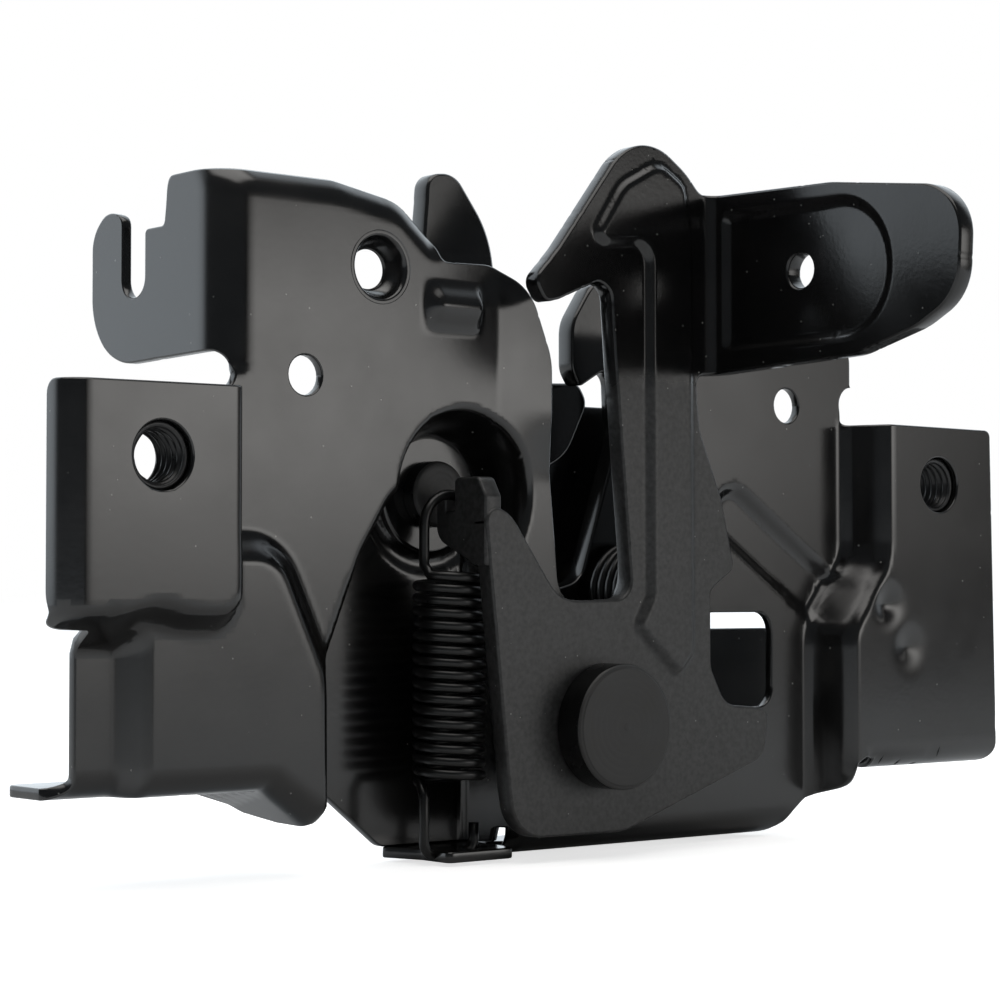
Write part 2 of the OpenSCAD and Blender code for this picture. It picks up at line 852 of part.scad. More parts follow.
// Pawl with the cable arm
pawl_outline = [
    [-pawl_x - 8.6, -pawl_drop - 3, 6],
    [-pawl_x - 6, -pawl_drop - 9, 6],
    [-pawl_x + 8, -pawl_drop - 11, 3],
    [-pawl_x + 9, -pawl_drop - 2, 5],
    [-pawl_x + 9.4, 12, 6],
    [-pawl_x + 16, 24, 6],
    [-pawl_x + 14.2, 36, 9],
    [-pawl_x + 7.6, 45.2, 3],
    [-pawl_x + 2.8, 45.2, 2.4],
    [-pawl_x + 1.6, 30, 8]
];
module pawl() {
    cable_hole_d = 5;
    cable_at = [-pawl_x + 5.2, 22.4];
    color(dark)
        difference() {
            slab(claw_front, claw_t)
                polygon(rounded(pawl_outline));
            rod(pawl_at, pin_d + 2 * running_gap, claw_front - over, claw_back + over);
            rod(cable_at, cable_hole_d, claw_front - over, claw_back + over);
        }
}
module pawl_rivet() {
    head_front = floor_front - 0.8 - 2.8;
    tail = cover_back + 6;
    color(dark)
        union() {
            rod(pawl_at, pawl_head_d, head_front, floor_front - 0.8);
            rod(pawl_at, pin_d, head_front + over, tail + over);
            rod(pawl_at, pin_d + 5, tail, tail + 1.8);
        }
}
module pawl_washer() {
    color(steel)
        difference() {
            rod(pawl_at, pin_d + 6, pawl_washer_front, pawl_washer_front + washer_t);
            rod(pawl_at, pin_d + 2 * seat_gap, claw_back, lifter_front);
        }
}

// Lifter that raises the striker when the pawl lets go
lifter_outline = [
    [-pawl_x - 7.4, -pawl_drop - 3, 5],
    [-pawl_x - 2, -pawl_drop - 8.4, 6],
    [-pawl_x + 8, -pawl_drop - 6, 6],
    [14, 4, 8],
    [18.4, 12.4, 2.6],
    [16.4, 15.4, 2],
    [7, 15, 8],
    [-pawl_x + 4, -pawl_drop + 8, 8],
    [-pawl_x - 6, -pawl_drop + 6, 5]
];
module lifter() {
    color(black)
        difference() {
            slab(lifter_front, lifter_t)
                polygon(rounded(lifter_outline));
            rod(pawl_at, pin_d + 2 * running_gap, lifter_front - over, lifter_front + lifter_t + over);
        }
}
module lifter_spring() {
    mean = pin_d + torsion_wire + 1;
    room = 6 - torsion_wire - 2 * end_play;
    turns = 2;
    color(steel)
        wire(torsion_path(pawl_at, mean, cover_back + torsion_wire / 2 + end_play, turns, room / turns, 8, 14),
            torsion_wire, [1, 0, 0]);
}

// Rear cover plate with its own striker slot, held by both rivets and a welded stud
stud_at = [42, -45.5];
stud_d = 7;
cover_outline = [
    [-34, -14, 6],
    [-22, -26, 6],
    [4, -33, 6],
    [24, -46, 6],
    [36, -50.5, 4],
    [48, -50.5, 4],
    [64, -40, 4],
    [64, -24, 3],
    [38, -24, 3],
    [37, 2, 4],
    [32, 12, 4],
    [slot_right + 3.6, 12, 1.5],
    [slot_right + 3.6, -slot_floor - 4, 5],
    [slot_left - 4, -slot_floor - 4, 5],
    [slot_left - 4, 12, 3],
    [-30, 12, 8],
    [-34, 6, 6]
];
module cover_plate() {
    color(black)
        difference() {
            slab(cover_front, cover_t)
                polygon(rounded(cover_outline));
            rod(pawl_at, pin_d + 2 * seat_gap, cover_front - over, cover_back + over);
            rod(claw_at, pin_d + 2 * seat_gap, cover_front - over, cover_back + over);
        }
}
module cover_stud() {
    color(steel)
        rod(stud_at, stud_d, panel_back, cover_front);
}

// Rubber block that stops the striker at the foot of the slot
module striker_buffer() {
    wide = slot_w - 3;
    color(rubber_black)
        slab(panel_back, 6)
            polygon(rounded([
                [slot_x - wide / 2, -slot_floor - 5, 1],
                [slot_x + wide / 2, -slot_floor - 5, 1],
                [slot_x + wide / 2, -slot_floor - 0.3, 1],
                [slot_x - wide / 2, -slot_floor - 0.3, 1]
            ]));
}

base_plate();
weld_nut_left();
weld_nut_right();
safety_hook();
safety_rivet();
safety_spacer();
safety_washer();
safety_spring();
main_hook();
hook_rivet();
hook_spacer();
hook_washer();
hook_spring();
pawl();
lifter();
pawl_rivet();
pawl_washer();
lifter_spring();
cover_plate();
cover_stud();
striker_buffer();
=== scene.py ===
"""Bonnet latch dressed for the studio: pressed sheet with soft draws, folded hook, spring and rivets."""

import json
import logging
import math
from dataclasses import dataclass
from enum import Enum
from typing import Callable, ClassVar

import bmesh
import bpy
import numpy as np
from mathutils import Matrix, Vector


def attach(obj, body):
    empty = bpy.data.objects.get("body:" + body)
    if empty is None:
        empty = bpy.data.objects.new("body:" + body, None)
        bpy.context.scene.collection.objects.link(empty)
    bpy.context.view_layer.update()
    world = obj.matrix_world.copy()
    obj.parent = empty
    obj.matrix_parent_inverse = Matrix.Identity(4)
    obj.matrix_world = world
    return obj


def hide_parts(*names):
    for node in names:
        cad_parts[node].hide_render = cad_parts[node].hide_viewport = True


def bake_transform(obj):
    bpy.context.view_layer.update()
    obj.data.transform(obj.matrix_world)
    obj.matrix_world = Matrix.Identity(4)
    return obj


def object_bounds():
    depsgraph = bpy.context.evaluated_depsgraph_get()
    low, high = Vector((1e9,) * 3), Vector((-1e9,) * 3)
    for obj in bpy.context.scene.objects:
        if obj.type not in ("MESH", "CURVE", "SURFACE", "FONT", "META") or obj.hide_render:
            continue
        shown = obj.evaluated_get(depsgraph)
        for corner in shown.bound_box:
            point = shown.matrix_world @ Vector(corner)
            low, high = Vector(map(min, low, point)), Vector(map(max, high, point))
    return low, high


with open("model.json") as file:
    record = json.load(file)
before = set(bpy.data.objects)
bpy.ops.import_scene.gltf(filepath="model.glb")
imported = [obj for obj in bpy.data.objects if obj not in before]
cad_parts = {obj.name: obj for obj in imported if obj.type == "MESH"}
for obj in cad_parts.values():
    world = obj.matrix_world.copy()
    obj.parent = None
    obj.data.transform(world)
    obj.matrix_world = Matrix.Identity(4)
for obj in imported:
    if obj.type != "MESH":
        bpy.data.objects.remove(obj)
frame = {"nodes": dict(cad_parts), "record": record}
CAD_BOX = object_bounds()

log = logging.getLogger("bonnet_latch")
MM = 0.001

Pair = tuple[float, float]
Triple = tuple[float, float, float]
Outline = list[Triple]
Surface = Callable[[np.ndarray, np.ndarray], np.ndarray]
Shape = bmesh.types.BMesh
Vert, Edge, Face = bmesh.types.BMVert, bmesh.types.BMEdge, bmesh.types.BMFace
Material = bpy.types.Material
Object = bpy.types.Object
Tree = bpy.types.NodeTree
Socket = bpy.types.NodeSocket


def across_and_up(place: list[float]) -> Pair:
    """X and Z of a place in the record, in millimetres."""
    return round(place[0] / MM, 4), round(place[2] / MM, 4)


# Pivots and fixing points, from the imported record
PIVOTS = {joint["child"]: across_and_up(joint["pos_m"]) for joint in frame["record"]["behaviour"]["joints"]}
SAFETY_AT, CLAW_AT, PAWL_AT = PIVOTS["safety_lever"], PIVOTS["hook"], PIVOTS["release_pawl"]
MOUNTS = {mount["name"]: mount for mount in frame["record"]["mounts"]}
BOLTS, LOCATORS, EYE = (MOUNTS[name] for name in ("bolts", "locating_holes", "cable_eye"))
BOLT_X = BOLTS["dims"]["spacing_x_mm"] / 2
CABLE_EYE = (*across_and_up(EYE["pos_m"]), EYE["dims"]["r_mm"])
# Radii of the holes for the 8 mm pins: where a part is held, and where it turns
HELD_R, TURNING_R = 4.05, 4.15


class Slot(Enum):
    """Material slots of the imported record."""

    BLACK_COAT = "black_coat"
    RIVET = "coated_rivet"
    ZINC = "zinc_steel"
    NUT = "nut_steel"
    WIRE = "spring_wire"
    PHOSPHATE = "phosphated_steel"
    RUBBER = "buffer_rubber"


def linear(code: str) -> tuple[float, float, float, float]:
    """Turns an sRGB hex colour into linear RGBA.

    Args:
        code: Colour such as "#1a1a1a".

    Returns:
        The linear red, green and blue with full alpha.
    """
    parts = [int(code[i:i + 2], 16) / 255 for i in (1, 3, 5)]
    red, green, blue = (c / 12.92 if c <= 0.04045 else ((c + 0.055) / 1.055) ** 2.4 for c in parts)
    return red, green, blue, 1.0


def fresh_tree(owner: bpy.types.ID) -> Tree:
    """Empties the node tree of a new material or world and returns it."""
    owner.use_nodes = True
    owner.node_tree.nodes.clear()
    return owner.node_tree


def add_node(tree: Tree, kind: str, values: dict | None = None, **settings: str) -> bpy.types.Node:
    """Adds one shader node with its settings, and its values or links.

    Args:
        tree: Node tree that gets the node.
        kind: Blender's type name of the node, after its first word.
        values: Input name or number, with a plain value or the output socket that feeds it.
        settings: Attributes of the node itself.

    Returns:
        The new node.
    """
    node = tree.nodes.new("ShaderNode" + kind)
    for name, value in settings.items():
        setattr(node, name, value)
    for name, value in (values or {}).items():
        if isinstance(value, Socket):
            tree.links.new(value, node.inputs[name])
        else:
            node.inputs[name].default_value = value
    return node


def maths(tree: Tree, operation: str, *values: object) -> Socket:
    """Result of a math node on plain values or sockets."""
    return add_node(tree, "Math", dict(enumerate(values)), operation=operation).outputs[0]


def noise(tree: Tree, place: Socket, size_mm: float, detail: float, roughness: float = 0.5) -> Socket:
    """Noise from 0 to 1, with spots of about the given size."""
    values = {"Vector": place, "Scale": 1 / (size_mm * MM), "Detail": detail, "Roughness": roughness}
    return add_node(tree, "TexNoise", values).outputs["Fac"]


def remap(tree: Tree, value: Socket, before: Pair, after: Pair = (0.0, 1.0), smooth: bool = False) -> Socket:
    """Maps a value from one range onto another.

    Args:
        tree: Node tree that gets the node.
        value: Value to map.
        before: Values that give the two ends of the new range.
        after: The new range.
        smooth: Whether the change eases in and out.

    Returns:
        The mapped value, kept within the new range.
    """
    values = {"Value": value, "From Min": before[0], "From Max": before[1],
              "To Min": after[0], "To Max": after[1]}
    kind = "SMOOTHSTEP" if smooth else "LINEAR"
    return add_node(tree, "MapRange", values, interpolation_type=kind).outputs[0]


def mixed(tree: Tree, share: object, first: object, second: object, how: str = "MIX") -> Socket:
    """Mixes two colours; its inputs are plain values or sockets."""
    colours = {0: share, 6: first, 7: second}
    return add_node(tree, "Mix", colours, data_type="RGBA", blend_type=how).outputs[2]


def mixed_value(tree: Tree, share: Socket, first: object, second: object) -> Socket:
    """Mixes two plain values or sockets."""
    return add_node(tree, "Mix", {0: share, 2: first, 3: second}, data_type="FLOAT").outputs[0]


@dataclass(frozen=True)
class Dulling:
    """Lower part of a coat that handling has dulled and mottled.

    Attributes:
        below_mm: Height under which the coat is dull.
        colour: Colour of the dull coat, sRGB hex.
        roughness: Its roughness.
        mirror: Its reflection, where the glossy coat has 0.5.
        wisp_mm: Size of the wisps along the uneven border.
        border_mm: Height over which the wisps reach.
        fade_mm: Height over which the coat changes.
        spots: Least and greatest tone of the mottling.
    """

    below_mm: float
    colour: str
    roughness: float
    mirror: float
    wisp_mm: float = 5.0
    border_mm: float = 9.0
    fade_mm: float = 4.0
    spots: Pair = (0.5, 1.4)

    def over(self, tree: Tree, place: Socket, grain: Socket, coat: dict[str, Socket]) -> dict[str, Socket]:
        """Lays the dull coat over the glossy one.

        Args:
            tree: Node tree of the material.
            place: Object coordinates.
            grain: Fine grain, 0 to 1.
            coat: Colour and roughness of the glossy coat, by input name.

        Returns:
            The inputs of the whole coat.
        """
        wisps = maths(tree, "MULTIPLY", noise(tree, place, self.wisp_mm, 5.0), self.border_mm * MM)
        height = add_node(tree, "SeparateXYZ", {0: place}).outputs["Z"]
        middle, half = self.below_mm + self.border_mm / 2, self.fade_mm / 2
        share = remap(tree, maths(tree, "ADD", height, wisps), ((middle + half) * MM, (middle - half) * MM),
                      smooth=True)
        matt = mixed(tree, 1.0, linear(self.colour), remap(tree, grain, (0.3, 0.7), self.spots), "MULTIPLY")
        return {"Base Color": mixed(tree, share, coat["Base Color"], matt),
                "Roughness": mixed_value(tree, share, coat["Roughness"], self.roughness),
                "Specular IOR Level": remap(tree, share, (0.0, 1.0), (0.5, self.mirror))}


@dataclass(frozen=True)
class Finish:
    """A surface finish on a metal or rubber part.

    Attributes:
        name: Common name of the material and how its surface was made.
        base: Main colour, sRGB hex.
        worn: Second colour of the mottling, sRGB hex.
        metallic: 1 for bare metal, 0 for a coating.
        roughness: Lowest and highest roughness of the mottling.
        mottle_mm: Size of the mottling.
        grain_mm: Size of the fine grain or orange peel.
        grain_height: Height of the grain, as a share of a millimetre.
        ior: Index of refraction of a coating.
        speck_mm: Size of scattered dust specks, 0 for none.
        dulling: Dull lower part of the coat, if it has one.
    """

    name: str
    base: str
    worn: str
    metallic: float
    roughness: Pair
    mottle_mm: float
    grain_mm: float
    grain_height: float
    ior: float = 1.5
    speck_mm: float = 0.0
    dulling: Dulling | None = None

    dust: ClassVar[str] = "#8f8f8b"
    dust_cover: ClassVar[float] = 0.8
    specks_apart: ClassVar[float] = 12.0

    def material(self) -> Material:
        """Makes the procedural material.

        Returns:
            A node material on Object coordinates.
        """
        material = bpy.data.materials.new(self.name)
        tree = fresh_tree(material)
        place = add_node(tree, "TexCoord").outputs["Object"]
        mottle = noise(tree, place, self.mottle_mm, 4.0, 0.55)
        grain = noise(tree, place, self.grain_mm, 2.0)
        share = remap(tree, mottle, (0.35, 0.68))
        coat = {"Base Color": mixed(tree, share, linear(self.base), linear(self.worn)),
                "Roughness": remap(tree, mottle, (0.3, 0.7), self.roughness)}
        if self.dulling:
            coat = self.dulling.over(tree, place, grain, coat)
        if self.speck_mm:
            coat["Base Color"] = self.dusted(tree, place, coat["Base Color"])
        bump = add_node(tree, "Bump", {"Height": grain, "Strength": 0.5, "Distance": self.grain_height * MM})
        coat |= {"Normal": bump.outputs[0], "Metallic": self.metallic, "IOR": self.ior}
        surface = add_node(tree, "BsdfPrincipled", coat)
        add_node(tree, "OutputMaterial", {"Surface": surface.outputs[0]})
        return material

    def dusted(self, tree: Tree, place: Socket, colour: Socket) -> Socket:
        """Scatters pale dust specks over the coat.

        Args:
            tree: Node tree of the material.
            place: Object coordinates.
            colour: Colour of the clean coat.

        Returns:
            The colour with specks.
        """
        cell = self.specks_apart * self.speck_mm * MM
        from_speck = add_node(tree, "TexVoronoi", {"Vector": place, "Scale": 1 / cell}).outputs["Distance"]
        rim, core = 0.7 / self.specks_apart, 0.4 / self.specks_apart
        speck = remap(tree, from_speck, (rim, core), (0.0, self.dust_cover))
        return mixed(tree, speck, colour, linear(self.dust))


FINISH_OF = {
    # Dip-coated pressed steel: near black, satin, with a faint orange peel that softens what it mirrors
    Slot.BLACK_COAT: Finish("black_dip_coated_steel", "#0b0b0c", "#131211", 0.0, (0.14, 0.22), 14.0, 0.9,
                            0.008, 1.7, 0.24),
    # Turned rivet heads under the same dip coat, matt
    Slot.RIVET: Finish("matt_coated_rivet_steel", "#262626", "#31302f", 0.0, (0.45, 0.6), 4.0, 0.5, 0.02),
    # Turned steel with dull zinc plating
    Slot.ZINC: Finish("zinc_plated_turned_steel", "#8a8a88", "#6e6e6d", 1.0, (0.3, 0.45), 3.0, 0.4, 0.01),
    Slot.NUT: Finish("coated_nut_steel", "#1a1a1b", "#2a2a2b", 0.0, (0.25, 0.4), 2.5, 0.5, 0.01),
    # Oil-tempered wire under a thin satin coat
    Slot.WIRE: Finish("coated_spring_wire", "#080808", "#0e0e0e", 0.0, (0.27, 0.38), 3.0, 0.6, 0.008),
    # Stamped steel with oiled zinc phosphate: near black, fine crystalline grain under the oil
    Slot.PHOSPHATE: Finish("oiled_phosphated_steel", "#0e0e0f", "#181817", 0.0, (0.15, 0.24), 5.0, 0.35,
                           0.006, 1.65),
    Slot.RUBBER: Finish("moulded_black_rubber", "#141414", "#1c1b1b", 0.0, (0.6, 0.75), 3.0, 0.6, 0.03),
}
# The dip coat on the thick safety hook, where its lower half is dulled and mottled by handling
HOOK_COAT = Finish("black_dip_coated_hook_steel", "#0a0a0a", "#100f0f", 0.0, (0.15, 0.22), 10.0, 0.7, 0.02,
                   1.6, 0.2, Dulling(14.0, "#2e2e2e", 0.4, 0.42))
# Darker gloss copy of the rivet coat for the sides of the rivet heads: its darker colour is painted shade,
# its gloss is real
SHADED_RIVET_SIDE = Finish("gloss_rivet_side_painted_shade", "#060606", "#0a0a0a", 0.0, (0.2, 0.3), 4.0, 0.5, 0.008)

ARC_STEP = 0.5
NEARLY_STRAIGHT = math.radians(88)


def rounded(corners: Outline) -> list[Vector]:
    """Rounds the corners of an outline.

    Args:
        corners: Corners as (u, v, radius), in millimetres.

    Returns:
        Points of the outline, with arcs of short steps.
    """
    points = []
    for i, (u, v, radius) in enumerate(corners):
        here = Vector((u, v))
        back = (Vector(corners[i - 1][:2]) - here).normalized()
        ahead = (Vector(corners[(i + 1) % len(corners)][:2]) - here).normalized()
        half = back.angle(ahead) / 2
        if radius <= 0 or half > NEARLY_STRAIGHT:
            points.append(here)
            continue
        centre = here + (back + ahead).normalized() * radius / math.sin(half)
        first = here + back * radius / math.tan(half) - centre
        turn = first.angle_signed(here + ahead * radius / math.tan(half) - centre)
        steps = max(3, math.ceil(abs(turn) * max(radius, 1.0) / ARC_STEP))
        points += [centre + Matrix.Rotation(-turn * k / steps, 2) @ first for k in range(steps + 1)]
    return points


def traced(corners: Outline) -> list[Pair]:
    """Points of an outline with rounded corners, as plain pairs."""
    return [tuple(point) for point in rounded(corners)]


def circle(u: float, v: float, radius: float) -> list[Vector]:
    """Points of a round hole, in millimetres."""
    steps = max(24, math.ceil(radius * 10))
    return [Vector((u + radius * math.cos(a), v + radius * math.sin(a)))
            for a in (2 * math.pi * k / steps for k in range(steps))]


def ramp(distance: np.ndarray, width: float) -> np.ndarray:
    """Soft step from 0 to 1, centred where the distance is 0 and as wide as given."""
    share = np.clip(distance / width + 0.5, 0, 1)
    return share * share * (3 - 2 * share)


def to_line(u: np.ndarray, v: np.ndarray, a: Pair, b: Pair) -> np.ndarray:
    """Distance to the straight piece between two points."""
    du, dv = b[0] - a[0], b[1] - a[1]
    share = np.clip(((u - a[0]) * du + (v - a[1]) * dv) / (du * du + dv * dv), 0, 1)
    return np.hypot(u - a[0] - share * du, v - a[1] - share * dv)


def inside(u: np.ndarray, v: np.ndarray, corners: Outline) -> np.ndarray:
    """Signed distance to an outline.

    Args:
        u: Points across the blank.
        v: Points up the blank.
        corners: Corners of the outline as (u, v, radius).

    Returns:
        Distance to its edge, positive inside.
    """
    points = traced(corners)
    nearest = np.full(u.shape, np.inf)
    within = np.zeros(u.shape, bool)
    for (au, av), (bu, bv) in zip(points, points[1:] + points[:1]):
        nearest = np.minimum(nearest, to_line(u, v, (au, av), (bu, bv)))
        crosses = (av > v) != (bv > v)
        within ^= crosses & (u < (bu - au) * (v - av) / ((bv - av) or 1e-9) + au)
    return np.where(within, nearest, -nearest)


def of_kind(items: list, kind: type) -> list:
    """Picks the vertices, edges or faces out of what an operator made."""
    return [item for item in items if isinstance(item, kind)]


@dataclass
class Blank:
    """Sheet-metal blank: cut flat, gridded, then pressed and folded by a surface function.

    Attributes:
        thickness: Sheet thickness in millimetres.
        cell: Spacing of the grid that lets the sheet bend.
        edge: Radius of the cut edges.
        fine: Bands with a closer grid, as axis (0 across, 2 up), first and last place, and spacing.
        first_line: Offset of the grid, so that no line runs along a straight edge.
        sliver: Distance under which points of the grid become one.
        rim_gap: Distance from the rim, in edge radii, under which they join the rim.
    """

    thickness: float
    cell: float = 1.5
    edge: float = 0.25
    fine: tuple[tuple[int, float, float, float], ...] = ()

    first_line: ClassVar[float] = 0.0137
    sliver: ClassVar[float] = 0.1
    rim_gap: ClassVar[float] = 1.8

    def lines(self, axis: int, low: float, high: float) -> list[float]:
        """Places of the grid lines along an axis, closer together in the fine bands.

        Args:
            axis: 0 across the blank, 2 up it.
            low: Lowest point of the blank.
            high: Highest point of the blank.

        Returns:
            Places of the lines between the two.
        """
        found = [low + self.first_line]
        while found[-1] < high - self.cell:
            cells = [cell for along, start, stop, cell in self.fine
                     if along == axis and start < found[-1] < stop]
            found.append(found[-1] + min(cells + [self.cell]))
        return found[1:]

    def cut(self, outline: list[Vector], holes: list[list[Vector]]) -> Shape:
        """Cuts the flat blank with its grid of cells.

        Args:
            outline: Points of the outer edge.
            holes: Points of each hole.

        Returns:
            The flat front face, with u in X and v in Z.
        """
        shape = bmesh.new()
        for loop in [outline] + holes:
            verts = [shape.verts.new((point.x, 0, point.y)) for point in loop]
            for pair in zip(verts, verts[1:] + verts[:1]):
                shape.edges.new(pair)
        bmesh.ops.remove_doubles(shape, verts=shape.verts, dist=0.02)
        bmesh.ops.triangle_fill(shape, use_beauty=True, edges=shape.edges, normal=(0, -1, 0))
        for axis, normal in ((0, Vector((1, 0, 0))), (2, Vector((0, 0, 1)))):
            values = [vert.co[axis] for vert in shape.verts]
            for place in self.lines(axis, min(values), max(values)):
                whole = shape.verts[:] + shape.edges[:] + shape.faces[:]
                bmesh.ops.bisect_plane(shape, geom=whole, dist=0.01, plane_co=normal * place, plane_no=normal)
        slanted = [edge for edge in shape.edges if len(edge.link_faces) == 2
                   and min(abs(edge.verts[0].co[k] - edge.verts[1].co[k]) for k in (0, 2)) > 1e-4]
        bmesh.ops.dissolve_edges(shape, edges=slanted, use_verts=False)
        loose = [vert for vert in shape.verts if len(vert.link_edges) == 2 and not vert.is_boundary]
        bmesh.ops.dissolve_verts(shape, verts=loose)
        bmesh.ops.remove_doubles(shape, verts=shape.verts, dist=self.sliver)
        onto_rim = {}
        for edge in shape.edges:
            rim = [vert for vert in edge.verts if vert.is_boundary]
            if len(rim) == 1 and edge.calc_length() < self.rim_gap * self.edge:
                onto_rim[edge.other_vert(rim[0])] = rim[0]
        bmesh.ops.weld_verts(shape, targetmap=onto_rim)
        return shape

    def rim_moves(self, shape: Shape) -> dict[Vert, Vector]:
        """Finds how each vertex of the rim moves outwards.

        Args:
            shape: The flat front face.

        Returns:
            For each rim vertex, the outward step that widens the outline by one.
        """
        sums: dict[Vert, list[Vector]] = {}
        for edge in (edge for edge in shape.edges if len(edge.link_faces) == 1):
            loop = edge.link_loops[0]
            along = (loop.link_loop_next.vert.co - loop.vert.co).normalized()
            for vert in edge.verts:
                sums.setdefault(vert, []).append(along.cross(Vector((0, -1, 0))))
        moves = {}
        for vert, outs in sums.items():
            total = sum(outs, Vector())
            moves[vert] = total / max(0.6, total.dot(outs[0]))
        return moves

    def thicken(self, shape: Shape) -> None:
        """Gives the flat blank its thickness and rounded edges, depth in Y.

        Args:
            shape: The flat front face, changed in place.
        """
        step_of = self.rim_moves(shape)
        for vert, move in step_of.items():
            vert.co -= move * self.edge
        back = bmesh.ops.duplicate(shape, geom=shape.faces[:])["geom"]
        for vert in of_kind(back, Vert):
            vert.co.y = self.thickness
        ring = [edge for edge in shape.edges if len(edge.link_faces) == 1 and edge.verts[0].co.y < 1e-6]
        corner = (1 - math.sqrt(0.5)) * self.edge
        steps = [(self.edge - corner, corner), (corner, self.edge - corner),
                 (0.0, self.thickness - 2 * self.edge), (-corner, self.edge - corner),
                 (corner - self.edge, corner)]
        for outwards, deeper in steps:
            before = {vert for edge in ring for vert in edge.verts}
            made = bmesh.ops.extrude_edge_only(shape, edges=ring)["geom"]
            ring = [edge for edge in of_kind(made, Edge) if not before.intersection(edge.verts)]
            fresh: dict[Vert, Vector] = {}
            for side in (side for wall in of_kind(made, Face) for side in wall.edges):
                old = [vert for vert in side.verts if vert in before]
                if len(old) == 1:
                    fresh[side.other_vert(old[0])] = step_of[old[0]]
            for vert, move in fresh.items():
                vert.co += move * outwards
                vert.co.y += deeper
            step_of = fresh
        rear = [vert for vert in shape.verts if vert.co.y > self.thickness - 1e-4]
        bmesh.ops.remove_doubles(shape, verts=rear, dist=0.001)
        shape.normal_update()
        for edge in shape.edges:
            edge.smooth = sum(abs(face.normal.y) > 0.99 for face in edge.link_faces) != 1

    def press(self, shape: Shape, surface: Surface) -> None:
        """Presses and folds the blank.

        Args:
            shape: The thick blank, changed in place.
            surface: Gives the front face's place in space for points of the blank.
        """
        u, depth, v = np.array([vert.co for vert in shape.verts]).T
        small = 0.02
        along_u = surface(u + small, v) - surface(u - small, v)
        along_v = surface(u, v + small) - surface(u, v - small)
        rear = np.cross(along_v, along_u)
        rear /= np.linalg.norm(rear, axis=1)[:, None]
        placed = surface(u, v) + rear * depth[:, None]
        for vert, place in zip(shape.verts, placed):
            vert.co = place

    def make(self, corners: Outline, holes: list[list[Vector]], surface: Surface) -> Shape:
        """Cuts, thickens and presses a blank.

        Args:
            corners: Rounded corners of its outline.
            holes: Points of each hole.
            surface: Place in space of each point of the blank.

        Returns:
            The closed sheet in millimetres.
        """
        shape = self.cut(rounded(corners), holes)
        self.thicken(shape)
        self.press(shape, surface)
        bmesh.ops.recalc_face_normals(shape, faces=shape.faces)
        return shape


def joined(shapes: list[Shape]) -> Shape:
    """Puts several shapes into one.

    Args:
        shapes: Shapes in millimetres, used up here.

    Returns:
        One shape that holds them all.
    """
    whole = bmesh.new()
    for shape in shapes:
        mesh = bpy.data.meshes.new("part_of_piece")
        shape.to_mesh(mesh)
        shape.free()
        whole.from_mesh(mesh)
        bpy.data.meshes.remove(mesh)
    return whole


def add_object(name: str, shape: Shape, material: Material) -> Object:
    """Makes an object at the origin.

    Args:
        name: Name of the object.
        shape: Shape in metres, used up here.
        material: Its material.

    Returns:
        The new object.
    """
    mesh = bpy.data.meshes.new(name)
    shape.to_mesh(mesh)
    shape.free()
    mesh.materials.append(material)
    made = bpy.data.objects.new(name, mesh)
    bpy.context.scene.collection.objects.link(made)
    return made


class Piece:
    """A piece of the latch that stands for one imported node.

    Attributes:
        node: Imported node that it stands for.
        slot: Material slot of the record.
        body: Body that it moves with.
        made: How it was made, the first word of its name.
        chamfered: Whether its flat faces stay flat between small chamfers.
    """

    node: str
    slot: Slot
    body: str = "base"
    made: ClassVar[str]
    chamfered: ClassVar[bool] = False

    def shape(self) -> Shape:
        """Makes the shape of the piece in millimetres."""
        raise NotImplementedError

    def dress(self, piece: Object) -> None:
        """Adds what the piece has beyond the material of its slot."""

    def tie(self, piece: Object) -> None:
        """Ties the piece to the body that it moves with."""
        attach(piece, self.body)

    def build(self, material: Material) -> None:
        """Builds the piece, dresses it and lets it stand for its node.

        Args:
            material: Its main material.
        """
        shape = self.shape()
        bmesh.ops.scale(shape, verts=shape.verts, vec=(MM, MM, MM))
        piece = add_object(f"{self.made}_{self.node}", shape, material)
        piece.data.shade_smooth()
        if self.chamfered:
            piece.modifiers.new("flat_faces", "WEIGHTED_NORMAL").weight = 90
        self.dress(piece)
        self.tie(piece)
        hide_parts(self.node)
        log.info("built %s with %d faces", piece.name, len(piece.data.polygons))


@dataclass(frozen=True)
class Fold:
    """A backward fold of a blank along a straight line, sizes in millimetres.

    Attributes:
        point: A point on the line where the fold starts.
        out: Unit direction from the flat area across the line.
        radius: Outer radius of the fold.
        thickness: Thickness of the sheet.
    """

    point: Pair
    out: Pair
    radius: float
    thickness: float

    def reach(self, u: np.ndarray, v: np.ndarray) -> np.ndarray:
        """Distance of each point beyond the line, negative before it."""
        return (u - self.point[0]) * self.out[0] + (v - self.point[1]) * self.out[1]

    def bend(self, reach: np.ndarray) -> tuple[np.ndarray, np.ndarray]:
        """Bends what lies beyond the line.

        Args:
            reach: Distance beyond the line, at least 0.

        Returns:
            Distance kept beyond the line, and distance gained to the rear.
        """
        middle = self.radius - self.thickness / 2
        turn = np.clip(reach / middle, 0, math.pi / 2)
        straight = np.clip(reach - middle * math.pi / 2, 0, None)
        return self.radius * np.sin(turn), self.radius * (1 - np.cos(turn)) + straight


